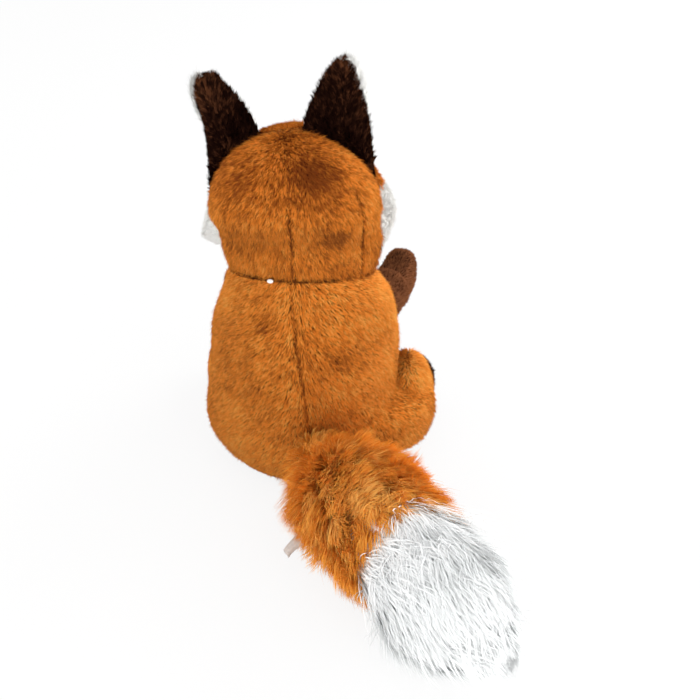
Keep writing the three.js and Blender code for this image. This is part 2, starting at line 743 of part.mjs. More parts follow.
function addButton(frame, name, solid, washerRadius) {
  addPiece(frame, name, solid, COLOURS.black, 0.15);
  const washer = cut(
    bar(vec(0, 0, washerSeat - WASHER_THICKNESS), vec(0, 0, washerSeat), washerRadius),
    bar(vec(0, 0, -SHANK_LENGTH), vec(0, 0, 0), SHANK_RADIUS + GAP, SHANK_SIDES),
  );
  addPiece(frame, `${name}_washer`, washer, COLOURS.cotton, 0.5);
  headFrame.add(frame);
}

// Mouth: a sewn line round the underside of the muzzle
function addMouth() {
  const half = radians(MOUTH_HALF_ANGLE);
  const [{ wide, high }] = grown([rowAt(MUZZLE_ROWS, MOUTH_ALONG)], STITCH_RADIUS + GAP);
  const points = Array.from({ length: 9 }, (_, i) => {
    const turn = -Math.PI / 2 + half * (i / 4 - 1);
    return vec(wide * Math.cos(turn), high * Math.sin(turn), MOUTH_ALONG);
  });
  const path = new THREE.CatmullRomCurve3(points);
  const shape = new THREE.Shape().absarc(0, 0, STITCH_RADIUS, 0, 2 * Math.PI);
  const options = { extrudePath: path, steps: 16, curveSegments: 4, bevelEnabled: false };
  const line = placed(solidOf(new THREE.ExtrudeGeometry(shape, options)), muzzleFrame);
  addPiece(headFrame, "mouth_stitch", line.subtract(muzzleSolid(GAP / 2)), COLOURS.thread);
}

// The band of cloth between the head's plug and the body's dish
function addNeckTape() {
  const slope = (radius, angle) =>
    new THREE.Vector2(radius * Math.cos(radians(angle)), radius * Math.sin(radians(angle)));
  const angles = [0, 0.5, 1].map((t) => THREE.MathUtils.lerp(TAPE_BOTTOM_ANGLE, TAPE_TOP_ANGLE, t));
  const profile = [
    ...angles.map((angle) => slope(tapeOutside, angle)),
    ...angles.reverse().map((angle) => slope(tapeInside, angle)),
    slope(tapeOutside, TAPE_BOTTOM_ANGLE),
  ];
  const geometry = new THREE.LatheGeometry(profile, NECK_SIDES);
  const frame = limbFrame(neckPivot, neckAxis);
  addPiece(frame, "neck_seam_tape", solidOf(geometry.rotateX(Math.PI / 2)), COLOURS.cotton);
  puppet.add(frame);
}

// Ears: two leaves of cloth, back and lining, on the seam over the head
function addEar(side) {
  const way = side === "left" ? 1 : -1;
  const rim = (turn) => {
    const aim = vec(Math.sin(radians(turn)), 0, Math.cos(radians(turn)));
    const way = aim.clone().multiply(SKULL).add(SKULL_CENTRE).normalize();
    return way.multiplyScalar(headRadius(way)).addScaledVector(aim, EAR_SEAT_GAP);
  };
  const lean = radians(EAR_LEAN);
  const wide = vec(Math.cos(lean), 0, -Math.sin(lean));
  const tip = rim(EAR_TURN).addScaledVector(vec(Math.sin(lean), 0, Math.cos(lean)), EAR_HEIGHT);
  const middle = (s, q) => {
    const at = rim(EAR_TURN + q * EAR_HALF_ANGLE).lerp(tip, s);
    at.addScaledVector(wide, q * EAR_BULGE * 4 * s * (1 - s));
    at.y -= EAR_CUP * q * q * Math.min(1, 3 * s);
    return at;
  };
  const thickness = (s, q) => {
    const full = EAR_THICKNESS * Math.sqrt(Math.max(0, 1 - q * q)) * Math.min(1, 4 * s) * Math.sqrt(1 - s);
    return Math.max(EAR_HEM, full);
  };
  const across = [-1, -0.7, -0.35, 0, 0.35, 0.7, 1];
  const levels = [0, 0.12, 0.25, 0.42, 0.6, 0.76, 0.88, 0.96];
  const leaf = (from, to) => {
    const grid = (offset) =>
      levels.map((s) => {
        const row = across.map((q) => middle(s, q).add(vec(0, offset(s, q), 0)));
        return way > 0 ? row : row.map((p) => vec(-p.x, p.y, p.z)).reverse();
      });
    return leafSolid(grid(from), grid(to));
  };
  const half = GAP / 2;
  const back = leaf(() => half, (s, q) => half + thickness(s, q));
  const lining = leaf((s, q) => -half - thickness(s, q), () => -half);
  addPiece(headFrame, `${side}_ear_back`, back, COLOURS.brown);
  addPiece(headFrame, `${side}_ear_lining`, lining, COLOURS.white);
}

// Arms: hollow, so that a finger reaches into the paw
function addArm(side) {
  const frame = limbFrame(armPivots[side], ARM_AIMS[side].aim);
  const wrist = vec(0, 0, WRIST_ALONG);
  const end = { along: SLEEVE_END, wide: SLEEVE_END_RADIUS, high: SLEEVE_END_RADIUS };
  const outside = axialSolid([...ballRows(ARM_BALL, 0), ...SLEEVE_ROWS, end]);
  const sleeve = cut(
    outside.intersect(above(-SLEEVE_BACK)),
    bar(vec(0, 0, -ARM_BALL), wrist, FINGER_RADIUS + LINING),
    brought(armHole(side), frame),
    dish(wrist, PAW_BALL + GAP),
  );
  addPiece(frame, `${side}_sleeve`, sleeve, COLOURS.brown);
  const pawFrame = new THREE.Group();
  pawFrame.position.copy(wrist);
  const mitten = axialSolid([...ballRows(PAW_BALL, 0), ...PAW_ROWS, point(PAW_LENGTH)]);
  const bore = bar(vec(0, 0, -PAW_BALL), vec(0, 0, PAW_BORE_DEPTH), FINGER_RADIUS - LINING);
  addPiece(pawFrame, `${side}_paw`, mitten.subtract(bore), COLOURS.brown);
  frame.add(pawFrame);
  puppet.add(frame);
}

// Legs: a stuffed haunch, round about the axis that it turns on, and a foot at its front
function haunchSolid(offset) {
  const inside = { along: -offset, wide: HAUNCH_INSIDE + offset, high: HAUNCH_INSIDE + offset };
  const rows = [inside, ...grown(HAUNCH_ROWS, offset), point(HAUNCH_THICKNESS + offset)];
  return axialSolid(rows, HAUNCH_SIDES);
}

function addLeg(side) {
  const frame = legFrames[side];
  const forward = side === "left" ? -FOOT.forward : FOOT.forward;
  const foot = (offset) => {
    const geometry = new THREE.SphereGeometry(1, LIMB_SIDES, 7);
    geometry.scale(FOOT.deep + offset, FOOT.high + offset, FOOT.wide + offset);
    return solidOf(geometry.translate(forward, -FOOT.drop, FOOT.along));
  };
  const cover = cut(haunchSolid(0), haunchSolid(-PLUSH), below(HAUNCH_OPENING), foot(GAP));
  addPiece(frame, `${side}_leg_cover`, cover, COLOURS.rust);
  addPiece(frame, `${side}_foot`, cut(foot(0), foot(-PLUSH), haunchSolid(-PLUSH)), COLOURS.brown);
  const plug = haunchSolid(0).intersect(below(HAUNCH_OPENING - GAP));
  const filling = haunchSolid(-PLUSH - GAP).add(foot(-PLUSH - GAP)).add(plug);
  addPiece(frame, `${side}_leg_stuffing`, filling, COLOURS.wadding);
  puppet.add(frame);
}

// Tail: a fur cover and its tip, each over its own stuffing, with the care label in the side seam
function addTail() {
  const frame = limbFrame(TAIL_ROOT, TAIL_AIM);
  const seam = vec(0, 0, TAIL_SEAM);
  const end = { along: TAIL_END, wide: TAIL_END_RADIUS, high: TAIL_END_RADIUS };
  const brush = (offset) => axialSolid(
    [...ballRows(TAIL_BALL + offset, 0), ...grown([...TAIL_ROWS, end], offset)],
    TAIL_SIDES,
  );
  const socket = dish(seam, TIP_BALL + TIP_DISH_GAP, TAIL_SIDES);
  const root = below(-TAIL_COVER_BACK);
  addPiece(frame, "tail_cover", cut(brush(0), brush(-TAIL_CLOTH), root, socket), COLOURS.longRust);
  const plug = ball(vec(0, 0, 0), TAIL_BALL).intersect(below(-TAIL_COVER_BACK - GAP));
  addPiece(frame, "tail_stuffing", brush(-TAIL_CLOTH - GAP).add(plug).subtract(socket), COLOURS.wadding);
  const tipFrame = new THREE.Group();
  tipFrame.position.copy(seam);
  const tip = (offset) => axialSolid(
    [...ballRows(TIP_BALL + offset, 0), ...grown(TIP_ROWS, offset), point(TIP_LENGTH + offset)],
    TAIL_SIDES,
  );
  addPiece(tipFrame, "tail_tip_cover", cut(tip(0), tip(-TAIL_CLOTH), below(-TIP_COVER_BACK)), COLOURS.white);
  const tipPlug = ball(vec(0, 0, 0), TIP_BALL, TAIL_SIDES).intersect(below(-TIP_COVER_BACK - GAP));
  addPiece(tipFrame, "tail_tip_stuffing", tip(-TAIL_CLOTH - GAP).add(tipPlug), COLOURS.wadding);
  frame.add(tipFrame);
  addLabel(frame);
  puppet.add(frame);
}

function addLabel(frame) {
  const turn = radians(LABEL.turn);
  const out = rowAt(TAIL_ROWS, LABEL.along + LABEL.width / 2).wide + GAP + LABEL.length / 2;
  const geometry = new THREE.BoxGeometry(LABEL.length, LABEL.thickness, LABEL.width);
  geometry.translate(out, 0, 0).rotateZ(turn).translate(0, 0, LABEL.along);
  addPiece(frame, "care_label", solidOf(geometry), COLOURS.label, 0.6);
}

addBody();
addNeckTape();
addHead();
for (const side of ["left", "right"]) {
  addEar(side);
  addArm(side);
  addLeg(side);
}
addTail();

// The origin is the middle of the footprint, on the floor
const box = new THREE.Box3().setFromObject(puppet, true);
const middle = box.getCenter(new THREE.Vector3());
const part = new THREE.Group();
puppet.position.set(-middle.x, -middle.y, -box.min.z);
part.add(puppet);

export default part;
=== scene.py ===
"""Fox hand puppet: plush, long fur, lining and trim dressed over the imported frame."""

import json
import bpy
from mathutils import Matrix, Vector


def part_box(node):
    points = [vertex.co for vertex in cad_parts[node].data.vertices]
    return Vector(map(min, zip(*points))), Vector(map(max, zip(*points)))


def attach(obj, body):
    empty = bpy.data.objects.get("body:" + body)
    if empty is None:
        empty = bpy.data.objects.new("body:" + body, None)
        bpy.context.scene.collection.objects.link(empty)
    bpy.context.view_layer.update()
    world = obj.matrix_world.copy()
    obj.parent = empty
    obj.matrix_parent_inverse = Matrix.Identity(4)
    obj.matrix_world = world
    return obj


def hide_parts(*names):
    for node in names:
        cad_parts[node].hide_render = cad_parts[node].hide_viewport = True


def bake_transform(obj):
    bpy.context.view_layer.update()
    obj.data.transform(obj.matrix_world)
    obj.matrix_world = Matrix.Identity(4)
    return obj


bl_info = {
    "name": "Fox hand puppet",
    "version": (1, 0, 0),
    "blender": (4, 5, 0),
    "location": "3D View > Sidebar > Puppet",
    "description": "Builds the plush, fur and trim of a sitting fox hand puppet",
    "category": "Object",
}

import bpy
import numpy as np
from bpy.props import FloatProperty, FloatVectorProperty, PointerProperty
from mathutils import Matrix

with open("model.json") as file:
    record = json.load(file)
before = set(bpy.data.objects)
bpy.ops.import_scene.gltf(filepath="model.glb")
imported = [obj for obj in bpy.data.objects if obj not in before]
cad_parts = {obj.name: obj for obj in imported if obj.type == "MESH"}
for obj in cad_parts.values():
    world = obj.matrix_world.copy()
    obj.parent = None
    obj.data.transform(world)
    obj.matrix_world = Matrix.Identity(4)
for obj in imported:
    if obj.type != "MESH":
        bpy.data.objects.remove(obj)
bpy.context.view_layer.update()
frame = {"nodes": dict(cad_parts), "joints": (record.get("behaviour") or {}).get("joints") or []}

# The solids' own sizes, in millimetres from the middle of the body's floor. The fox faces -Y and
# its left side is +X.
UP = np.array([0.0, 0.0, 1.0])
WAY = {"left": 1, "right": -1}  # each side's sign in X
NECK_HEIGHT = 144.5
NECK_LEAN = np.radians(19)
NECK_AXIS = np.array([0, -np.sin(NECK_LEAN), np.cos(NECK_LEAN)])
NECK_PIVOT_RISE = 20
NECK_BALL = 48
NECK_PIVOT = NECK_HEIGHT * UP + NECK_PIVOT_RISE * NECK_AXIS
NECK_EDGE = NECK_PIVOT_RISE + 1.5  # how far under the pivot the head's cloth ends
BODY_LEVELS = np.array([  # height, lean, and the half-widths left, right, back and front
    (0, 0, 56, 52, 52, 46),
    (7, 0, 65, 61, 59.5, 52),
    (28, 0, 73.5, 68, 65.5, 58),
    (65, 5, 69, 67, 67, 60),
    (100, 11, 65, 65, 64, 56),
    (128, 16, 57, 60, 56, 50),
    (NECK_HEIGHT, 19, 48.5, 48.5, 48.5, 48.5),
])
SEAT_STATION = 1.04
NECK_STATION = 6.0
TOP_STEP = 17  # from the last station but one to the neck
BELLY_HALF_ANGLE = np.radians(55)
SEAM_TOP = (-0.5, 150)  # x and height of the back seam
SEAM_SLOPE = 0.1272
HAND_HALF_WIDTH, HAND_HALF_DEPTH, HAND_CENTRE_Y = 43, 31, 2
HAND_SHOULDER, HAND_TOP = 84, 106
HEM_MIDDLE, HEM_EDGE, HEM_HEIGHT = 3.4, 5, 2.55  # outward from the hand's space, and up

HEAD_ROLL = np.radians(8.7)
SKULL_CENTRE = np.array([0, 3.5, 22.6])
EAR_SEAM = SKULL_CENTRE[1]  # depth of the seam from ear to ear
SKULL = np.array([57.0, 55, 54])
BROW_HEIGHT = 29
MUZZLE_LENGTH = 86.5
MUZZLE_DROP = 14
MUZZLE_ROWS = ((28, 34, 29), (34, 33, 28), (50, 29, 24), (66, 21, 17.5), (76, 15, 13),
               (82, 10.5, 9.5), (85.4, 5.5, 5), (MUZZLE_LENGTH, 0, 0))
EYE_TURN, EYE_RISE = 33, 37
EYE_ROWS = ((-2.5, 2.2, 2.2), (-1.2, 5.0, 5.0), (-0.2, 6.9, 6.9), (0.7, 7.0, 7.0), (1.6, 6.7, 6.7),
            (3.2, 5.5, 5.5), (4.6, 3.4, 3.4), (5.1, 1.7, 1.7), (5.3, 0, 0))
NOSE = (9, 7, 7)
NOSE_LIFT, NOSE_SUNK = 2.5, 3.5
MOUTH_ALONG, MOUTH_HALF_ANGLE = 68, np.radians(62)
EAR_TURN, EAR_HALF_ANGLE, EAR_HEIGHT = 41.5, 27, 53
EAR_LEAN = np.radians(8)
EAR_BOW = {"left": (3, -17), "right": (13, 12)}  # how far the inner and outer edges swell
EAR_BLUNT = {"left": 7, "right": 1}
EAR_FRINGE = {"left": 2.5, "right": 1.5}  # how far the lining shows past the back
EAR_SLOPE = {"left": 7, "right": 0}  # how much lower the tip's outer end is

ARM_AIMS = {"left": (0.2, -0.977, 0.08), "right": (-0.31, -0.95, 0.06)}
WRIST_ALONG = 24
SLEEVE_ROWS = ((-9, 15.5, 15.5), (0, 17.8, 17.8), (9, 17, 17), (14, 17.5, 18), (19, 17.6, 17.8),
               (22.5, 15.5, 15.5))
PAW_ROWS = ((-7, 12, 12), (0, 14.5, 14.5), (8, 14, 17), (16, 13.5, 21), (25, 12, 19), (32, 8, 13),
            (35, 4.2, 7), (36, 0, 0))
HAUNCH_ROWS = ((2, 23, 23), (7, 28, 28), (15, 33, 33), (23, 34, 34), (31, 29.5, 29.5), (37, 20, 20),
               (40, 11, 11), (41, 0, 0))
HAUNCH_INSET = {"left": 6.5, "right": 2.6}  # how far the cloth lies inside the solid
HAUNCH_MIDDLE, HAUNCH_HALF = (0, 0, 20), np.array([34.0, 34, 21])
SLIM = 2.4  # how much flatter the left side is than the solid
JOIN = {"right": 42}  # how wide the hollow between body and haunch is filled
FOOT = (19, 22.5, 17.5)
FOOT_PLACE = (-37, -12, 24)  # forward, up and outward from the haunch's middle
TAIL_AIM = np.array([-0.59, 0.807, 0])
TAIL_SEAM = 98
TAIL_ROWS = ((-14, 16, 16), (0, 21, 21), (14, 24, 24), (34, 34, 33), (58, 38, 37.5), (84, 37.8, 37.8),
             (100, 36.5, 36))
TIP_ROWS = ((-12, 36, 35.5), (0, 36.5, 36), (18, 37, 36.5), (40, 39, 38), (66, 33, 32), (86, 21, 20),
            (95, 11, 10.5), (99, 0, 0))
LABEL = {"width": 14, "length": 16, "along": 44, "turn": np.radians(200), "inner": 36.6}
BARB_ROWS = ((-2, 0, 0), (-1.75, 0.7, 0.7), (-1.0, 1.2, 1.2), (0, 1.4, 1.4), (1.0, 1.2, 1.2),
             (1.75, 0.7, 0.7), (2, 0, 0))

SPIKE_WIDTH = 0.62
TUFT_STRETCH = 2.0  # a tuft's length over its width
TUFT_TWIST = 0.3  # how far the nap of a tuft turns aside
LOCK_BENDS = 3  # straight lengths of a long hair
LOCK_TONES = 0.3  # how far the tones of locks differ

PIVOT = {joint["name"]: np.array(joint["pos_m"]) * 1000 for joint in frame["joints"]}
ORIGIN = PIVOT["head_turn"] - NECK_PIVOT


def colour(name, description, default):
    return FloatVectorProperty(
        name=name, description=description, default=default, subtype="COLOR", min=0, max=1
    )


def length(name, description, default):
    return FloatProperty(name=name, description=description, default=default, unit="LENGTH", min=0)


class FoxSizes(bpy.types.PropertyGroup):
    """Lengths and spacings of the pile"""

    plush_length: length("Plush length", "Length of the short pile", 0.0045)
    plush_lean: FloatProperty(
        name="Plush lean", description="How far the short pile lies over", default=1.1, subtype="ANGLE"
    )
    tuft: length("Tuft", "Distance between the tufts of the short pile", 0.0012)
    fur_length: length("Fur length", "Length of the tail's orange fur", 0.020)
    tip_length: length("Tip length", "Length of the tail's white fur", 0.030)
    lock: length("Lock", "Distance between the locks of the long fur", 0.0058)
    share: FloatProperty(
        name="Share", description="Share of the strands that is made", default=1, min=0.01, max=1
    )


class FoxColours(bpy.types.PropertyGroup):
    """Deep, middle and pale colour of each fibre, and the colours of the trim"""

    # The deep colours are each fibre's darkest tone: random tufts reach them, and so do the painted shade
    # along seams and of the brushed nap.
    rust_deep: colour("Rust, deep", "Rust plush where it parts", (0.22, 0.045, 0.0045))
    rust: colour("Rust", "Rust plush", (0.89, 0.265, 0.027))
    rust_pale: colour("Rust, pale", "Rust plush at its tips", (0.99, 0.49, 0.10))
    brown_deep: colour("Brown, deep", "Brown plush where it parts", (0.003, 0.001, 0.0008))
    brown: colour("Brown", "Brown plush", (0.024, 0.008, 0.005))
    brown_pale: colour("Brown, pale", "Brown plush at its tips", (0.27, 0.097, 0.040))
    white_deep: colour("White, deep", "White plush where it parts", (0.90, 0.88, 0.83))
    white: colour("White", "White plush", (0.97, 0.955, 0.92))
    white_pale: colour("White, pale", "White plush at its tips", (0.985, 0.98, 0.955))
    fur_deep: colour("Fur, deep", "Orange fur at its parting", (0.46, 0.14, 0.014))
    fur: colour("Fur", "Orange fur", (0.91, 0.375, 0.045))
    fur_pale: colour("Fur, pale", "Orange fur at its tips", (0.98, 0.61, 0.17))
    tip_deep: colour("Tip, deep", "White fur at its parting", (0.935, 0.945, 0.945))
    tip: colour("Tip", "White fur", (0.945, 0.955, 0.955))
    tip_pale: colour("Tip, pale", "White fur at its tips", (0.955, 0.965, 0.965))
    cotton: colour("Cotton", "Lining of the hand's space", (0.79, 0.74, 0.63))
    label: colour("Label", "Care label", (0.66, 0.58, 0.53))
    black: colour("Black", "Eyes and nose", (0.009, 0.006, 0.005))
    thread: colour("Thread", "Sewn mouth", (0.042, 0.018, 0.011))
    nylon: colour("Nylon", "Tag barb and washers", (0.80, 0.78, 0.74))
    card: colour("Card", "Finger tube", (0.48, 0.33, 0.16))


# Arithmetic on whole arrays of points


def unit(v):
    """Vectors divided by their lengths."""
    return v / np.maximum(np.linalg.norm(v, axis=-1, keepdims=True), 1e-9)


def dot(a, b):
    return np.sum(a * b, axis=-1, keepdims=True)


def far(a, b):
    """Distances between points."""
    return np.linalg.norm(a - b, axis=-1)


def stacked(*coordinates):
    """Points from their coordinates, each spread over the same grid."""
    return np.stack(np.broadcast_arrays(*coordinates), -1)


def parts(points):
    """Coordinates of points, one array for each."""
    return np.moveaxis(points, -1, 0)


def turns(count):
    """Even angles round a full turn, the last one over the first."""
    return np.linspace(0, 2 * np.pi, count + 1)


def along_surface(v, normal):
    """What is left of a vector without its part along the normal."""
    return v - dot(v, normal) * normal


def ease(t):
    """3t^2 - 2t^3 between 0 and 1, level outside."""
    t = np.clip(t, 0, 1)
    return t * t * (3 - 2 * t)


def bell(distance, reach):
    """A bell curve: 1 at no distance, 1/e at the reach."""
    return np.exp(-((distance / reach) ** 2))


def lattice(cells, seed):
    """Three even random numbers for each whole-number cell, mixed from its indices and the seed."""
    i = cells.astype(np.int64)
    h = (i[..., 0] * 73856093) ^ (i[..., 1] * 19349663) ^ (i[..., 2] * 83492791) ^ (seed * 40503)
    for shift in (15, 12, 17):
        h = ((h ^ (h >> shift)) * 1274126177) & 0x3FFFFFFF
    return np.stack([h & 1023, (h >> 10) & 1023, (h >> 20) & 1023], -1) / 1023


def drift(points, spacing, seed):
    """Three smooth random numbers from -1 to 1: values at the corners of a cubic lattice, eased
    and mixed inside each cube."""
    at = points / spacing
    cell = np.floor(at)
    part = ease(at - cell)
    total = 0
    for corner in np.ndindex(2, 2, 2):
        corner = np.array(corner)
        weight = np.prod(np.where(corner, part, 1 - part), axis=-1, keepdims=True)
        total = total + weight * lattice(cell + corner, seed)
    return 2 * total - 1


def tufts(points, spacing, seed):
    """The nearest tuft's middle and its three random traits. Tufts are one point in each cube of a
    lattice, shifted inside it."""
    cell = np.floor(points / spacing)
    best = np.full(len(points), np.inf)
    middle = np.zeros_like(points)
    trait = np.zeros_like(points)
    for step in np.ndindex(3, 3, 3):
        here = cell + np.array(step) - 1
        spot = (here + lattice(here, seed)) * spacing
        apart = np.sum((spot - points) ** 2, axis=-1)
        near = apart < best
        best = np.where(near, apart, best)
        middle[near] = spot[near]
        trait[near] = lattice(here, seed + 7)[near]
    return middle, trait


def through(table, at):
    """A smooth curve through the rows of a table: on each step a cubic whose slopes are half the
    difference of the neighbouring rows."""
    table = np.asarray(table, float)
    rows = np.vstack([2 * table[0] - table[1], table, 2 * table[-1] - table[-2]])
    step = np.clip(np.floor(at).astype(int), 0, len(table) - 2)
    t = (at - step)[..., None]
    a, b, c, d = (rows[step + k] for k in range(4))
    return b + 0.5 * t * (c - a + t * (2 * a - 5 * b + 4 * c - d + t * (3 * (b - c) + d - a)))


def arc_distance(points, centre, start, end):
    """Distance of points from an arc over a ball, and the side of it that they are on. The arc goes
    from one point to another the short way, and the distance is that of the directions from the
    ball's centre times its radius."""
    first, last, way = (unit(p - centre) for p in (start, end, points))
    axis = unit(np.cross(first, last))
    ahead = np.cross(axis, first)
    span = np.arccos(np.clip(first @ last, -1, 1))
    along = np.clip(np.arctan2(way @ ahead, way @ first), 0, span)[..., None]
    nearest = np.cos(along) * first + np.sin(along) * ahead
    radius = np.linalg.norm(start - centre)
    return radius * np.linalg.norm(way - nearest, axis=-1), np.sign(way @ axis)


class Axes:
    """A place and three directions. out() carries points from its own axes and into() back to them;
    at() is a point on the third axis."""

    def __init__(self, origin, axes):
        self.origin = np.asarray(origin, float)
        self.axes = np.asarray(axes, float)

    def out(self, local):
        return self.origin + local @ self.axes

    def at(self, along):
        return self.origin + along * self.axes[2]

    def into(self, points):
        return (points - self.origin) @ self.axes.T


def limb_axes(origin, aim):
    """Axes whose third direction is the aim and whose second stays as near up as it can."""
    third = unit(np.asarray(aim, float))
    first = unit(np.cross(UP, third))
    return Axes(origin, [first, np.cross(third, first), third])


HEAD = Axes(NECK_PIVOT, [
    (np.cos(HEAD_ROLL), 0, -np.sin(HEAD_ROLL)), (0, 1, 0), (np.sin(HEAD_ROLL), 0, np.cos(HEAD_ROLL)),
])
NECK_IN_HEAD = HEAD.axes @ NECK_AXIS
ARMS = {side: limb_axes(PIVOT[f"{side}_arm_raise"] - ORIGIN, aim) for side, aim in ARM_AIMS.items()}
LEGS = {
    side: Axes(PIVOT[f"{side}_leg_lift"] - ORIGIN, [(0, 1, 0), UP, (way, 0, 0)])
    for side, way in WAY.items()
}
TAIL = limb_axes(PIVOT["tail_swing"] - ORIGIN, TAIL_AIM)


# Shapes: points as functions of two parameters


def body_points(station, turn, inset=0.0):
    """The body's outside: at each station an oval with its own four half-widths, leaning back."""
    height, lean, left, right, back, front = parts(through(BODY_LEVELS, station))
    x, y = np.cos(turn), np.sin(turn)
    wide = x * (np.where(x > 0, left, right) - inset)
    deep = y * (np.where(y > 0, back, front) - inset)
    lean = np.radians(lean)
    return stacked(wide, deep * np.cos(lean), height + deep * np.sin(lean))


def seam_turn(station):
    """The turn at which each station meets the slanting back seam, by repeated substitution."""
    left, right = parts(through(BODY_LEVELS, station))[2:4]
    turn = np.full_like(station, np.pi / 2)
    for _ in range(8):
        x = SEAM_TOP[0] + (body_points(station, turn)[..., 2] - SEAM_TOP[1]) * SEAM_SLOPE
        turn = np.arccos(np.clip(x / np.where(x > 0, left, right), -1, 1))
    return turn


def belly_turn(station, side):
    """The turn at which each station meets the plane of a side seam."""
    _, lean, left, right, _, front = parts(through(BODY_LEVELS, station))
    wide = left if side == "left" else right
    past = np.arctan(wide / (front * np.cos(np.radians(lean)) * np.tan(BELLY_HALF_ANGLE)))
    return -past if side == "left" else np.pi + past


def slimmer(turn):
    """How far the left side lies inside the solid at each turn."""
    return SLIM * ease(np.cos(turn) / 0.8)


def hand_oval(turn, out, height, scale=1.0):
    """The oval of the hand's space at a height, widened and then scaled."""
    wide, deep = (scale * (half + out) for half in (HAND_HALF_WIDTH, HAND_HALF_DEPTH))
    return stacked(wide * np.cos(turn), HAND_CENTRE_Y + deep * np.sin(turn), height)


def aim_from(turn, rise):
    """A direction from the front of the face, turned to the left and raised, in degrees."""
    turn, rise = np.radians(turn), np.radians(rise)
    return np.array([np.cos(rise) * np.sin(turn), -np.cos(rise) * np.cos(turn), np.sin(rise)])


MUZZLE = limb_axes(SKULL_CENTRE, aim_from(0, -MUZZLE_DROP))


def head_radius(way):
    """Distance of the head's outside from the neck's pivot along unit vectors: an egg-shaped skull
    that eases into a ball at the neck, and a bell-shaped bulge on each cheek, which the seam from
    ear to ear holds in behind."""
    scaled, centre = way / SKULL, SKULL_CENTRE / SKULL
    b, a = scaled @ centre, np.sum(scaled**2, axis=-1)
    skull = (b + np.sqrt(np.maximum(b * b - a * (centre @ centre - 1), 0))) / a
    rise = np.degrees(np.arcsin(np.clip(way @ NECK_IN_HEAD, -1, 1)))
    egg = NECK_BALL + (np.maximum(skull, NECK_BALL) - NECK_BALL) * ease((rise + 11) / 26)
    cheek = np.abs(way * [1, 0, 0]) + way * [0, 1, 1]
    apart = np.degrees(np.arccos(np.clip(cheek @ aim_from(79, 3), -1, 1)))
    front = ease((5.5 - way[..., 1] * egg) / 14)
    return egg + front * ease((rise + 15) / 14) * 13.5 * bell(apart, 22)


def eye_seat(way):
    """Where the eye of a side sits on the head."""
    aim = aim_from(way * EYE_TURN, EYE_RISE)
    return aim * head_radius(aim)


def head_patch(pole, inside, rows, columns, inset):
    """The part of the head round a pole in which a test holds. Each column is a great circle from
    the pole to the patch's edge, which is found by halving."""
    pole = unit(np.asarray(pole, float))
    first = unit(np.cross(pole, (0.3, 0.1, 1.0)))
    turn = turns(columns)[:, None]
    spoke = np.cos(turn) * first + np.sin(turn) * np.cross(pole, first)

    def at(angle):
        way = np.cos(angle)[..., None] * pole + np.sin(angle)[..., None] * spoke
        return way * head_radius(way)[..., None]

    low, high = np.zeros(columns + 1), np.full(columns + 1, np.radians(170))
    for _ in range(26):
        middle = (low + high) / 2
        keep = inside(at(middle))
        low, high = np.where(keep, middle, low), np.where(keep, high, middle)
    share = np.linspace(0, 1, rows)[:, None]
    local = at(share * low)
    return local * (1 - inset / np.linalg.norm(local, axis=-1, keepdims=True))


def limb_points(rows, axes, rings, sides, power=1.0):
    """A smooth tube through rows of (along, half-width, half-height) on a limb's own axis. A power
    below 1 makes its section squarer."""
    at = np.linspace(0, len(rows) - 1, rings)
    along, wide, high = parts(through(rows, at))[..., None]
    wide, high = np.maximum(wide, 0), np.maximum(high, 0)
    turn = turns(sides)
    x, y = (np.sign(c) * np.abs(c) ** power for c in (np.cos(turn), np.sin(turn)))
    return axes.out(stacked(wide * x, high * y, along))


def egg_points(half, centre, axes, rings, sides):
    """An egg with three half-lengths on a limb's axes."""
    rise = np.linspace(-np.pi / 2, np.pi / 2, rings)[:, None]
    turn = turns(sides)
    ball = stacked(np.cos(rise) * np.cos(turn), np.cos(rise) * np.sin(turn), np.sin(rise))
    return axes.out(ball * half + centre)


def ear_points(side, s, q):
    """Middle of an ear: from the seam over the head (s = 0) to the tip (s = 1), across from edge to
    edge (q from -1 to 1), with bowed edges and a cup towards the front."""

    def rim(turn):
        aim = stacked(np.sin(turn), 0, np.cos(turn))
        out = unit(aim * SKULL + SKULL_CENTRE)
        return out * head_radius(out)[..., None] + 0.7 * aim

    middle = np.array(np.radians(EAR_TURN))
    seat, root = rim(middle), rim(middle + q * np.radians(EAR_HALF_ANGLE))
    tip = seat + EAR_HEIGHT * np.array([np.sin(EAR_LEAN), 0, np.cos(EAR_LEAN)])
    across = np.array([np.cos(EAR_LEAN), 0, -np.sin(EAR_LEAN)])
    end = np.clip((s - 0.82) / 0.12, 0, 1)
    squeeze = np.sqrt(1 - 0.98 * end**2)
    bow = np.where(q < 0, *EAR_BOW[side])
    wide = q * (bow * s * (1 - s) + EAR_BLUNT[side] * s) * squeeze
    points = tip + (root - tip) * (1 - s)[..., None]
    spine = tip + (seat - tip) * (1 - s)[..., None]
    points = spine + (points - spine) * squeeze[..., None] + across * wide[..., None]
    points[..., 2] -= EAR_SLOPE[side] * (1 + q) / 2 * squeeze * ease((s - 0.4) / 0.5)
    points[..., 1] -= 7 * q**2 * np.clip(3 * s, 0, 1)
    return points * (WAY[side], 1, 1)


# Cloth and what grows on it


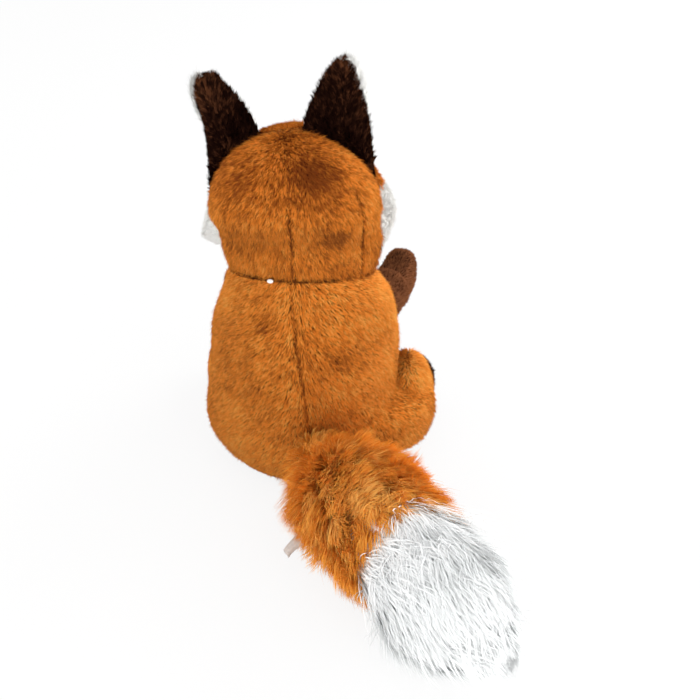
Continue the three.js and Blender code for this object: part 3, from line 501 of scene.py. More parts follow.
class Cloth:
    """A sheet on a grid of points. Its normals are the cross product of the grid's two differences,
    turned away from a middle point. The fields say how the pile lies at each point."""

    def __init__(self, points, middle, closed=False, inset=0.0):
        across = np.gradient(points, axis=1)
        if closed:
            ring = points[:, :-1]
            across = np.roll(ring, -1, 1) - np.roll(ring, 1, 1)
            across = np.concatenate([across, across[:, :1]], 1)
        normal = np.cross(across, np.gradient(points, axis=0))
        away = points - middle
        self.turned = np.sum(normal * away) < 0
        normal = -normal if self.turned else normal
        size = np.linalg.norm(normal, axis=-1, keepdims=True)
        poor = size < 1e-3 * np.median(size)
        normal = np.where(poor, unit(away), normal / np.maximum(size, 1e-12))
        self.normal = normal
        self.points = points - inset * normal
        self.nap = np.broadcast_to(-UP, points.shape).copy()
        self.tone = np.full(points.shape[:2], 0.5)
        self.gain = np.ones(points.shape[:2])
        self.stand = np.ones(points.shape[:2])
        self.density = np.ones(points.shape[:2])

    def comb(self, nap, swirl, seed, spacing=24):
        """Lays the pile along a direction, with a slow random swirl."""
        nap = unit(along_surface(nap, self.normal)) + swirl * drift(self.points, spacing, seed)
        self.nap = unit(along_surface(nap, self.normal))
        return self

    def shade(self, seed, broad=0.16, fine=0.10):
        """Uneven tone: a slow drift and a quicker one."""
        slow = drift(self.points, 27, seed)[..., 0]
        quick = drift(self.points, 9, seed + 1)[..., 0]
        self.tone = self.tone + broad * slow + fine * quick
        self.gain = self.gain * (1 + 0.15 * drift(self.points, 15, seed + 2)[..., 0])
        return self

    def mark(self, share, tone=0.0, gain=0.0):
        """Changes the tone and the length where a share, from 0 to 1, says so."""
        self.tone = self.tone + tone * share
        self.gain = self.gain * (1 + gain * share)
        return self

    def triangles(self, at):
        """Two triangles for each cell of a grid of point numbers, facing the normals' way."""
        a, b, c, d = at[:-1, :-1], at[:-1, 1:], at[1:, 1:], at[1:, :-1]
        tris = np.concatenate([np.stack(abc, -1).reshape(-1, 3) for abc in ((a, b, c), (a, c, d))])
        return tris[:, ::-1] if self.turned else tris

    def skin(self):
        """The sheet itself: its triangles, with points that coincide joined."""
        rows, columns = self.points.shape[:2]
        flat = self.points.reshape(-1, 3)
        keys = np.round(flat * 100).astype(np.int64)
        _, first, back = np.unique(keys, axis=0, return_index=True, return_inverse=True)
        tris = self.triangles(back.reshape(rows, columns))
        real = (tris[:, 0] != tris[:, 1]) & (tris[:, 1] != tris[:, 2]) & (tris[:, 2] != tris[:, 0])
        # the sheet sits at the roots on the map, so it takes their painted root shade: a dark sheet under the
        # pile
        row = np.arange(rows)[:, None] % 2
        uv = stacked(np.clip(self.tone, 0.02, 0.98), 0.03 + 0.06 * row).reshape(-1, 2)
        return flat[first], tris[real], uv[first]

    def scatter(self, count, rng):
        """Random roots, even over the area, with the fields mixed between the grid's points."""
        p = self.points
        first = np.cross(p[1:, :-1] - p[:-1, :-1], p[:-1, 1:] - p[:-1, :-1])
        second = np.cross(p[1:, :-1] - p[1:, 1:], p[:-1, 1:] - p[1:, 1:])
        area = np.linalg.norm(first, axis=-1) + np.linalg.norm(second, axis=-1)
        total = np.cumsum((area * self.density[:-1, :-1]).ravel())
        cell = np.searchsorted(total, rng.random(count) * total[-1])
        row, column = np.divmod(cell, p.shape[1] - 1)
        u, v = rng.random((2, count, 1))

        def at(field):
            f = field.reshape(*p.shape[:2], -1)
            low = f[row, column] * (1 - v) + f[row, column + 1] * v
            high = f[row + 1, column] * (1 - v) + f[row + 1, column + 1] * v
            return low * (1 - u) + high * u

        normal = unit(at(self.normal))
        nap = unit(along_surface(at(self.nap), normal))
        return at(p), normal, nap, at(self.tone)[:, 0], at(self.gain), at(self.stand)


def tube(rows, axes, rings, sides, middle, inset, power=1.0):
    """A limb's cloth. The middle is given along the axis."""
    return Cloth(limb_points(rows, axes, rings, sides, power), axes.at(middle), closed=True, inset=inset)


def swung(nap, normal, angle):
    """The nap turned about the normal."""
    return nap * np.cos(angle) + np.cross(normal, nap) * np.sin(angle)


def above_floor(points, rng):
    """Strands that would pass through the floor lie on it instead."""
    points[..., 2] = np.maximum(points[..., 2], 0.15 + 0.5 * rng.random(points.shape[:-1]))
    return points


def stretched(points, way, share):
    """Points drawn out, or pressed together, along one direction."""
    return points + (share - 1) * dot(points, way) * way


def numbered(faces, points, count):
    """The triangles of one strand, repeated for all with the numbers of their own points."""
    return (np.asarray(faces) + points * np.arange(count)[:, None, None]).reshape(-1, 3)


def spikes(cloth, count, seed, reach, lean, tuft, grain=UP, pull=0.85, spread=0.6, lines=()):
    """Short pile: a three-sided spike from each root, which leans along the nap. Tufts are longer along
    the grain than across it. Spikes of a tuft share a turn, a length and a tone, and their tips draw
    together into a ridge. Along the sewn lines the pile is short and darkened with painted shade of
    the seam's groove, and no tuft crosses them."""
    rng = np.random.default_rng(seed)
    root, normal, nap, tone, gain, stand = cloth.scatter(count, rng)
    across = np.zeros((count, 1))
    for *arc, depth in lines:
        apart, side = arc_distance(root, *arc)
        across = np.where(apart[:, None] < 4, 400 * side[:, None], across)
        gain = gain * (1 - 0.85 * depth * bell(apart, 1.5))[:, None]
        # painted shade: the tone darkens along each sewn line, standing in for the shade in its groove
        tone = tone - 0.6 * depth * bell(apart, 1.4)
    middle, trait = tufts(stretched(root + across, grain, 1 / TUFT_STRETCH), tuft, seed)
    middle = stretched(middle, grain, TUFT_STRETCH) - across
    stray = rng.normal(size=(count, 3))
    flow = swung(nap, normal, TUFT_TWIST * (2 * trait[:, :1] - 1) + 0.22 * stray[:, :1])
    tilt = lean * stand + 0.30 * (trait[:, 1:2] - 0.5) + 0.12 * stray[:, 1:2]
    way = normal * np.cos(tilt) + flow * np.sin(tilt)
    size = reach * gain * (0.78 + 0.44 * trait[:, 2:3]) * (1 + 0.13 * stray[:, 2:3])
    aside = along_surface(middle - root, normal)
    tip = root + way * size + pull * (aside - dot(aside, flow) * flow)
    axis = unit(tip - root)
    side = unit(np.cross(axis, normal))
    over = np.cross(side, axis)
    half = 0.5 * SPIKE_WIDTH * (0.75 + 0.5 * rng.random((count, 1)))
    base = root - 0.5 * normal
    points = np.stack([base - half * side, base + half * side, base + half * over, tip], 1)
    faces = numbered([(0, 2, 3), (2, 1, 3), (1, 0, 3)], 4, count)
    u = np.clip(tone + spread * (trait[:, 1] - 0.5) + 0.22 * (rng.random(count) - 0.5), 0.03, 0.97)
    uv = stacked(u[:, None] + np.array([-0.012, 0.012, 0, 0]), np.array([0.12, 0.12, 0.2, 0.97]))
    return above_floor(points, rng).reshape(-1, 3), faces, uv.reshape(-1, 2)


def locks(cloth, count, seed, reach, lean, lock, width, pull, twist=0.9, droop=0.15, sway=1.6, uneven=0.5,
          roll=0.4):
    """Long fur: a tapering ribbon from each root, which rises and then bends along the nap and down.
    Ribbons of a lock bend towards the lock's own line and share its turn, length and tone."""
    rng = np.random.default_rng(seed)
    root, normal, nap, tone, gain, stand = cloth.scatter(count, rng)
    middle, trait = tufts(root, lock, seed)
    steps = np.linspace(0, 1, LOCK_BENDS + 1)
    t = steps[None, :, None]

    def line(start, angle, tilt, size):
        flow = swung(nap, normal, angle)
        rising = normal * np.cos(tilt) + flow * np.sin(tilt)
        lying = unit(rising + 0.9 * flow - droop * UP)
        curve = rising[:, None] * (t - t * t / 2) + lying[:, None] * (t * t / 2)
        return start[:, None] + size[:, None] * curve

    stray = rng.normal(size=(count, 4))
    angle = twist * (2 * trait[:, :1] - 1)
    tilt = lean * stand + uneven * (trait[:, 1:2] - 0.5)
    size = reach * gain * (0.72 + 0.56 * trait[:, 2:3])
    shared = line(root + along_surface(middle - root, normal), angle, tilt, size)
    angle = angle + 0.35 * stray[:, :1]
    tilt = tilt + 0.45 * uneven * stray[:, 1:2]
    own = line(root, angle, tilt, size * (1 + 0.14 * stray[:, 2:3]))
    drawn = pull * t**1.2
    path = own * (1 - drawn) + shared * drawn
    path = path + np.cross(normal, nap)[:, None] * (sway * stray[:, 3:4])[:, None] * np.sin(3.5 * t) * t
    path = above_floor(path, rng)
    side = unit(np.cross(unit(np.gradient(path, axis=1)), normal[:, None] + roll * stray[:, None, :3]))
    half = 0.5 * width * (0.7 + 0.6 * rng.random((count, 1, 1))) * (1 - t) ** 0.5
    left, right = path - half * side, path + half * side
    points = np.concatenate([left[:, :-1], right[:, :-1], path[:, -1:]], 1)
    k = np.arange(LOCK_BENDS - 1)
    ladder = np.concatenate([
        np.stack([k, LOCK_BENDS + k, k + 1], -1),
        np.stack([k + 1, LOCK_BENDS + k, LOCK_BENDS + k + 1], -1),
        [(LOCK_BENDS - 1, 2 * LOCK_BENDS - 1, 2 * LOCK_BENDS)],
    ])
    faces = numbered(ladder, 2 * LOCK_BENDS + 1, count)
    u = np.clip(tone + LOCK_TONES * (trait[:, 1] - 0.5) + 0.24 * (rng.random(count) - 0.5), 0.03, 0.97)
    v = 0.08 + 0.88 * np.concatenate([steps[:-1], steps[:-1], steps[-1:]])
    off = np.repeat([-0.01, 0.01, 0], [LOCK_BENDS, LOCK_BENDS, 1])
    uv = stacked(u[:, None] + off, v)
    return points.reshape(-1, 3), faces, uv.reshape(-1, 2)


def place(points):
    """Millimetres on the body's axes to metres in the frame."""
    return (np.asarray(points) + ORIGIN) * 0.001


def add_object(name, data):
    """A new object in the scene."""
    made = bpy.data.objects.new(name, data)
    bpy.context.scene.collection.objects.link(made)
    return made


def make(name, blocks, finish, nodes):
    """One object from blocks of points, triangles and map coordinates, in place of CAD nodes."""
    first = np.cumsum([0] + [len(b[0]) for b in blocks])
    points = place(np.concatenate([b[0] for b in blocks])).astype(np.float32)
    faces = np.concatenate([b[1] + n for b, n in zip(blocks, first)]).astype(np.int32)
    uv = np.concatenate([b[2] for b in blocks]).astype(np.float32)
    mesh = bpy.data.meshes.new(name)
    mesh.vertices.add(len(points))
    mesh.vertices.foreach_set("co", points.ravel())
    mesh.loops.add(faces.size)
    mesh.loops.foreach_set("vertex_index", faces.ravel())
    mesh.polygons.add(len(faces))
    mesh.polygons.foreach_set("loop_start", np.arange(0, faces.size, 3, dtype=np.int32))
    mesh.update(calc_edges=True)
    mesh.uv_layers.new(name="OFBake").uv.foreach_set("vector", uv[faces.ravel()].ravel())
    mesh.shade_smooth()
    mesh.materials.append(finish)
    piece = add_object(name, mesh)
    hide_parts(*nodes)
    return piece


def shell(name, cloth, finish, node_name, body):
    """A piece without pile, which rides on one body."""
    piece = make(name, [cloth.skin()], finish, (node_name,))
    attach(piece, body)
    return piece


def bend(piece):
    """Bakes the piece's transform into its mesh."""
    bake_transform(piece)


def amount(count):
    return max(1, int(count * bpy.context.scene.fox_sizes.share))


def plush(name, kind, cloth, count, seed, nodes, fill, scale=1.0, **how):
    """A piece of plush: its cloth, and short pile with the sizes of the settings."""
    sizes = bpy.context.scene.fox_sizes
    how = {"lean": sizes.plush_lean, "tuft": sizes.tuft * 1000, **how}
    strands = spikes(cloth, amount(count), seed, sizes.plush_length * 1000 * scale, **how)
    return make(name, [cloth.skin(), strands], plush_finish(kind), nodes)


# Finishes


def node(tree, kind, links=(), **settings):
    """Adds a node. Links are (its input, what feeds it), where a feed is a socket or a value."""
    made = tree.nodes.new(f"ShaderNode{kind}")
    for key, value in settings.items():
        setattr(made, key, value)
    for name, feed in links:
        if isinstance(feed, bpy.types.NodeSocket):
            tree.links.new(feed, made.inputs[name])
        else:
            made.inputs[name].default_value = feed
    return made


def mix(tree, share, first, second, **settings):
    """A mix of two colours."""
    return node(tree, "Mix", [(0, share), (6, first), (7, second)], data_type="RGBA", **settings).outputs[2]


def ranged(tree, value, low=0.0, high=1.0, first=0.0, last=1.0):
    """A value's place between two numbers, carried over to two others."""
    ends = [("From Min", low), ("From Max", high), ("To Min", first), ("To Max", last)]
    return node(tree, "MapRange", [("Value", value), *ends]).outputs[0]


def larger(tree, first, second):
    return node(tree, "Math", [(0, first), (1, second)], operation="MAXIMUM").outputs[0]


def new_group(name, inputs, outputs):
    """A node group with its sockets, and the two nodes that stand for them inside it."""
    group = bpy.data.node_groups.new(name, "ShaderNodeTree")
    for label, kind, value in inputs:
        made = group.interface.new_socket(label, in_out="INPUT", socket_type=f"NodeSocket{kind}")
        if value is not None:
            made.default_value = value
    for label, kind in outputs:
        group.interface.new_socket(label, in_out="OUTPUT", socket_type=f"NodeSocket{kind}")
    return group, group.nodes.new("NodeGroupInput").outputs, group.nodes.new("NodeGroupOutput").inputs


def fibre_shade():
    """Colour of a fibre: its tone picks between a deep, a middle and a pale colour, its root is
    darker than its tip as painted shade of the pile's depth, and its tip is a little smoother."""
    name = "Fibre shade"
    if name in bpy.data.node_groups:
        return bpy.data.node_groups[name]
    group, given, out = new_group(
        name,
        [("Tone", "Float", 0.5), ("Along", "Float", 0.5), ("Deep", "Color", (0.2, 0.2, 0.2, 1)),
         ("Middle", "Color", (0.5, 0.5, 0.5, 1)), ("Pale", "Color", (0.8, 0.8, 0.8, 1)),
         ("Root shade", "Float", 0.4)],
        [("Color", "Color"), ("Roughness", "Float")],
    )
    low = ranged(group, given["Tone"], high=0.5)
    high = ranged(group, given["Tone"], low=0.5)
    tone = mix(group, high, mix(group, low, given["Deep"], given["Middle"]), given["Pale"])
    rise = ranged(group, given["Along"], 0.08, 0.6, first=given["Root shade"])
    group.links.new(mix(group, 1.0, tone, rise, blend_type="MULTIPLY"), out["Color"])
    group.links.new(ranged(group, given["Along"], first=0.95, last=0.72), out["Roughness"])
    return group


def weave():
    """Woven threads: two sets of ribs at right angles on the map, and a slow uneven tone."""
    name = "Weave"
    if name in bpy.data.node_groups:
        return bpy.data.node_groups[name]
    group, given, out = new_group(
        name, [("Vector", "Vector", None), ("Threads", "Float", 100.0)],
        [("Height", "Float"), ("Tone", "Float")],
    )
    ribs = []
    for direction in "XY":
        wave = node(group, "TexWave", [("Vector", given["Vector"]), ("Scale", given["Threads"]),
                                       ("Distortion", 0.6), ("Detail Scale", 2.0)],
                    bands_direction=direction)
        ribs.append(wave.outputs["Fac"])
    tone = node(group, "TexNoise", [("Vector", given["Vector"]), ("Scale", 9.0), ("Detail", 4.0)])
    group.links.new(larger(group, *ribs), out["Height"])
    group.links.new(tone.outputs["Fac"], out["Tone"])
    return group


def speckle():
    """Fine grain of moulded or pressed stuff: two noises on the object's own coordinates."""
    name = "Speckle"
    if name in bpy.data.node_groups:
        return bpy.data.node_groups[name]
    group, given, out = new_group(
        name, [("Vector", "Vector", None), ("Scale", "Float", 400.0)],
        [("Height", "Float"), ("Tone", "Float")],
    )
    fine = node(group, "TexNoise", [("Vector", given["Vector"]), ("Scale", given["Scale"]), ("Detail", 5.0)])
    slow = node(group, "TexNoise", [("Vector", given["Vector"]), ("Scale", 90.0), ("Detail", 3.0)])
    group.links.new(fine.outputs["Fac"], out["Height"])
    group.links.new(slow.outputs["Fac"], out["Tone"])
    return group


def start_material(name):
    material = bpy.data.materials.new(name)
    material.use_nodes = True
    return material, material.node_tree, material.node_tree.nodes["Principled BSDF"]


# root sets how dark the painted shade at the fibres' roots is
def fibre(name, key, root=0.14, sheen=0.10, gloss=0.12):
    """A fibre finish, whose tone and place along the fibre come from the piece's map."""
    if name in bpy.data.materials:
        return bpy.data.materials[name]
    colours = bpy.context.scene.fox_colours
    deep, middle, pale = ((*getattr(colours, key + end), 1) for end in ("_deep", "", "_pale"))
    material, tree, shader = start_material(name)
    at = node(tree, "SeparateXYZ", [(0, node(tree, "UVMap", uv_map="OFBake").outputs[0])]).outputs
    shade = node(tree, "Group", [("Tone", at["X"]), ("Along", at["Y"]), ("Root shade", root), ("Deep", deep),
                                 ("Middle", middle), ("Pale", pale)], node_tree=fibre_shade())
    tree.links.new(shade.outputs["Color"], shader.inputs["Base Color"])
    tree.links.new(shade.outputs["Roughness"], shader.inputs["Roughness"])
    shader.inputs["Specular IOR Level"].default_value = gloss
    shader.inputs["Sheen Weight"].default_value = sheen
    shader.inputs["Sheen Roughness"].default_value = 0.5
    shader.inputs["Sheen Tint"].default_value = pale
    return material


def grained(name, key, group, scale, rough, depth, mapped=False, tones=(0.82, 1.12)):
    """A finish whose colour varies slowly and whose bump and roughness follow a grain."""
    if name in bpy.data.materials:
        return bpy.data.materials[name]
    base = np.array(getattr(bpy.context.scene.fox_colours, key))
    material, tree, shader = start_material(name)
    if mapped:
        vector = node(tree, "UVMap", uv_map="OFBake").outputs[0]
    else:
        vector = node(tree, "TexCoord").outputs["Object"]
    grain = node(tree, "Group", [("Vector", vector), (1, scale)], node_tree=group).outputs
    low, high = (tuple(np.clip(base * f, 0, 1)) + (1,) for f in tones)
    bumped = node(tree, "Bump", [("Height", grain["Height"]), ("Strength", 0.6), ("Distance", depth)])
    worn = ranged(tree, grain["Height"], first=rough - 0.06, last=rough + 0.06)
    tree.links.new(mix(tree, grain["Tone"], low, high), shader.inputs["Base Color"])
    tree.links.new(bumped.outputs[0], shader.inputs["Normal"])
    tree.links.new(worn, shader.inputs["Roughness"])
    return material


def plush_finish(kind):
    """Rust, brown or white plush."""
    looks = {"rust": {}, "brown": {"sheen": 0.0, "gloss": 0.0}, "white": {"root": 0.95, "sheen": 0.3}}
    return fibre(f"{kind.capitalize()} plush", kind, **looks[kind])


def nylon():
    return grained("White nylon", "nylon", speckle(), scale=300, rough=0.38, depth=0.0001)


class PUPPET_OT_stage(bpy.types.Operator):
    """Floor, light and camera"""

    bl_idname = "puppet.stage"
    bl_label = "Stage"

    floor_half = 4.0
    lamp_size, lamp_target = 1.2, (-20, 20, 90)
    lamps = (  # name, watts and place
        ("Key", 6, (600, 1000, 350)), ("Fill", 7, (-900, 800, 350)), ("Front", 12, (-850, -800, 400)),
    )
    target, distance, turn, rise = (-34, 20, 92), 720, np.radians(186), np.radians(33)
    sensor, focal, picture = 36, 1066, 700  # millimetres, and two lengths in pixels

    def execute(self, context):
        self.floor()
        self.world()
        for lamp in self.lamps:
            self.lamp(*lamp)
        self.camera()
        return {"FINISHED"}

    def floor(self):
        half = self.floor_half
        mesh = bpy.data.meshes.new("floor")
        corners = [(-half, -half, 0), (half, -half, 0), (half, half, 0), (-half, half, 0)]
        mesh.from_pydata(corners, [], [(0, 1, 2, 3)])
        floor = add_object("floor", mesh)
        material = bpy.data.materials.new("White floor")
        material.use_nodes = True
        tree = material.node_tree
        tree.nodes.clear()
        matte = node(tree, "BsdfDiffuse", [("Color", (0.9, 0.9, 0.9, 1))])
        glow = node(tree, "Emission", [("Strength", 1.0)])
        share = node(tree, "Math", [(0, self.seen(tree)), (1, 0.86)], operation="MULTIPLY")
        both = node(tree, "MixShader", [(0, share.outputs[0]), (1, matte.outputs[0]), (2, glow.outputs[0])])
        node(tree, "OutputMaterial", [("Surface", both.outputs[0])])
        mesh.materials.append(material)

    def seen(self, tree):
        """1 for rays from the camera, from gloss and through glass."""
        path = node(tree, "LightPath").outputs
        first = larger(tree, path["Is Camera Ray"], path["Is Glossy Ray"])
        return larger(tree, first, path["Is Transmission Ray"])

    def world(self):
        world = bpy.data.worlds.new("Soft room")
        bpy.context.scene.world = world
        world.use_nodes = True
        tree = world.node_tree
        back = tree.nodes["Background"]
        back.inputs["Color"].default_value = (1, 1, 1, 1)
        height = node(tree, "SeparateXYZ", [(0, node(tree, "TexCoord").outputs["Generated"])])
        sky = ranged(tree, height.outputs["Z"], first=1.25, last=0.7)
        strength = node(tree, "Mix", [(0, self.seen(tree)), (2, sky), (3, 1.0)])
        tree.links.new(strength.outputs[0], back.inputs["Strength"])

    def lamp(self, name, energy, spot):
        data = bpy.data.lights.new(name, "AREA")
        data.energy = energy
        data.shape = "DISK"
        data.size = self.lamp_size
        add_object(name, data).matrix_world = self.posed(unit(np.subtract(spot, self.lamp_target)), spot)

    def camera(self):
        level = np.cos(self.rise)
        back = np.array([np.sin(self.turn) * level, -np.cos(self.turn) * level, np.sin(self.rise)])
        data = bpy.data.cameras.new("Camera")
        data.sensor_width = self.sensor
        data.lens = self.sensor * self.focal / self.picture
        data.clip_start = 0.01
        camera = add_object("Camera", data)
        camera.matrix_world = self.posed(back, self.target + self.distance * back)
        bpy.context.scene.camera = camera
        bpy.context.scene.view_settings.view_transform = "Standard"

    def posed(self, back, spot):
        """The matrix of something that looks along -back from a spot, with its top up."""
        right = unit(np.cross(UP, back))
        made = np.eye(4)
        made[:3] = np.column_stack([right, np.cross(back, right), back, place(spot)])
        return Matrix(made.tolist())


class PUPPET_OT_body(bpy.types.Operator):
    """Back, belly and seat panels"""

    bl_idname = "puppet.body"
    bl_label = "Body"

    painted_shading = (  # middle, reach and depth of painted shade on the back, where the brushed nap shows its shaded depths; the last, with a negative depth, is a painted sheen low on the left side
        ((13, 57, 130), 7, 0.40), ((-31, 56, 107), 9, 0.42), ((-3, 60, 118), 6, 0.12),
        ((45, 45, 30), 30, -0.14),
    )

    def execute(self, context):
        for side, nodes, seed in (("left", ("back_panel_left", "back_wadding"), 11),
                                  ("right", ("back_panel_right",), 12)):
            grain = unit(np.array([0.5 * WAY[side], 0, -0.87]))
            self.finish(f"back_{side}_plush", self.back(side, seed), 62000, seed, nodes, grain=grain)
        nodes = ("belly_panel", "front_wadding", "left_wadding", "right_wadding")
        self.finish("belly_plush", self.belly(), 21000, 13, nodes)
        self.finish("seat_plush", self.seat(), 8000, 14, ("seat_panel",), scale=0.6, lean=1.35, pull=0.3)
        return {"FINISHED"}

    def finish(self, name, cloth, count, seed, nodes, **how):
        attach(plush(name, "rust", cloth, count, seed, nodes, fill=0.75, **how), "body")

    def panel(self, start, end, groove, seed):
        """A panel from one turn to another at each station, drawn in along its seams, with painted shade
        darkening the seams and the top edge under the head.
        """
        wall = np.linspace(SEAT_STATION, NECK_STATION, 80)
        station = np.append(wall, np.full(8, NECK_STATION))[:, None]
        collar = np.append(0 * wall, np.linspace(1.5, 12, 8))[:, None]
        share = np.linspace(0, 1, 70)[None]
        turn = start(station) * (1 - share) + end(station) * share
        points = body_points(station, turn, collar) - 0.12 * collar[..., None] * NECK_AXIS
        step = np.linalg.norm(np.gradient(points, axis=1), axis=-1)
        arc = np.cumsum(step, axis=1) - step
        pinch = groove[0] * bell(arc, 0.85) + groove[1] * bell(arc[:, -1:] - arc, 0.85)
        below = (NECK_STATION - station) * TOP_STEP
        top = bell(below, 1.3) + 0 * share
        puff = 1.2 * drift(points, 34, seed)[..., 0] * (1 - bell(below, 12))
        slim = slimmer(turn) * (1 - 0.85 * ease(station - NECK_STATION + 1))
        inset = 2.5 + 0.8 * top + 1.7 * pinch + puff + slim
        middle = points.mean((0, 1)) * (0, 0, 1)
        normal = Cloth(points, middle).normal
        out = self.joined(points, normal) * ease((station - SEAT_STATION) / 0.6) - inset
        cloth = Cloth(points + out[..., None] * normal, middle)
        # painted shade: the tone darkens in the grooves of the seams and at the top edge, where the panel
        # meets the head
        cloth.shade(seed).mark(pinch, tone=-0.32, gain=-0.5).mark(top, tone=-0.3, gain=-0.3)
        return cloth, arc

    def joined(self, points, normal):
        """How far points move out along their normals, so that body and haunches are one smooth shape
        from behind: the place, reached from outside in small steps, where the rounded lower one of the
        height over the body and the distance from the haunch's egg is nothing."""
        out = np.full(points.shape[:2], 26.0)
        for _ in range(40):
            here = points + out[..., None] * normal
            gap = out
            for side, reach in JOIN.items():
                local = LEGS[side].into(here) - HAUNCH_MIDDLE
                size = np.linalg.norm(local / HAUNCH_HALF, axis=-1)
                apart = size * (size - 1) / np.maximum(np.linalg.norm(local / HAUNCH_HALF**2, axis=-1), 1e-6)
                behind = ease((local[..., 0] + 6) / 16) * ease((63 - here[..., 2]) / 18)
                apart = apart + 8 * (1 - behind)
                wide = 5 + (reach - 5) * behind
                gap = np.minimum(gap, apart) - np.maximum(wide - np.abs(gap - apart), 0) ** 2 / (4 * wide)
            out = np.clip(out - 0.7 * gap, 0, 26)
        return out

    def back(self, side, seed):
        cloth, arc = self.panel(seam_turn, lambda station: belly_turn(station, side), (1.0, 0.5), seed)
        slant = WAY[side] * (0.3 + 0.6 * ease(arc / 26))
        cloth.comb(stacked(slant, 0, -1), swirl=0.28, seed=seed)
        # painted shade of the brushed nap, and one painted sheen low on the left
        for spot, reach, depth in self.painted_shading:
            cloth.mark(bell(far(cloth.points, spot), reach), tone=-depth)
        return cloth

    def belly(self):
        def start(station):
            return belly_turn(station, "left")

        def end(station):
            return belly_turn(station, "right") - 2 * np.pi

        cloth, _ = self.panel(start, end, (0.5, 0.5), 15)
        return cloth.comb((0, -0.1, -1.0), swirl=0.35, seed=15)

    def seat(self):
        """The rounded lower edge and the flat ring under it, in to the hem of the hand's opening."""
        lowest = 0.3
        turn = turns(120)[None]
        side = body_points(np.linspace(SEAT_STATION, 0.06, 10)[:, None], turn)
        share = np.linspace(0, 1, 9)[1:, None, None]
        points = np.concatenate([side, side[-1:] * (1 - share) + hand_oval(turn, HEM_EDGE, lowest) * share])
        points[..., 2] = np.maximum(points[..., 2], lowest)
        cloth = Cloth(points, (0, 0, 40), closed=True)
        lift = 1.4 + (1.2 + slimmer(turn)) * ease(points[..., 2] / 6)
        cloth.points = points - lift[..., None] * cloth.normal
        inward = -unit(points * (1, 1, 0))
        return cloth.shade(16).comb(inward - UP, swirl=0.3, seed=16)


class PUPPET_OT_hand_space(bpy.types.Operator):
    """Lining of the hand's space, with its hem"""

    bl_idname = "puppet.hand_space"
    bl_label = "Hand space"

    def execute(self, context):
        """The lining: straight walls up to the shoulder and a dome over them, with slow ripples."""
        turn, up = turns(120)[None], np.linspace(0, 1, 41)[:, None]
        shoulder = 0.7
        dome = np.clip((up - shoulder) / (1 - shoulder), 0, 1) * np.pi / 2
        ripple = 1 + 0.010 * np.sin(9 * turn + 3 * up) * ease(up / 0.2) * np.cos(dome)
        wall = HAND_SHOULDER * np.clip(up / shoulder, 0, 1)
        height = 0.8 + wall + (HAND_TOP - HAND_SHOULDER) * np.sin(dome)
        points = hand_oval(turn, 0.6, height, np.cos(dome) * ripple)
        points, tris, _ = Cloth(points, (0, HAND_CENTRE_Y, 40), closed=True).skin()
        around = np.arctan2(points[:, 1] - HAND_CENTRE_Y, points[:, 0])
        uv = np.stack([0.5 + around / (2 * np.pi), points[:, 2] / 110], -1)
        cotton = grained("Cotton lining", "cotton", weave(), scale=60, rough=0.85, depth=0.0004, mapped=True)
        lining = make("lining_cotton", [(points, tris[:, ::-1], uv)], cotton, ("hand_lining",))
        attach(lining, "body")
        self.hem()
        return {"FINISHED"}

    def hem(self):
        """A rolled binding: a round section carried round the oval of the opening."""
        turn, around = turns(160)[:, None], turns(12)[None]
        thick = 2.1 + 0.25 * np.sin(44 * turn)
        points = hand_oval(turn, HEM_MIDDLE + thick * np.cos(around), HEM_HEIGHT + thick * np.sin(around))
        cloth = Cloth(points, hand_oval(turn, HEM_MIDDLE, HEM_HEIGHT), closed=True).shade(21)
        # the binding's sheet takes the fibres' painted root shade, so it is darker than the plush
        return shell("hem_binding_roll", cloth, plush_finish("rust"), "hem_binding", "body")


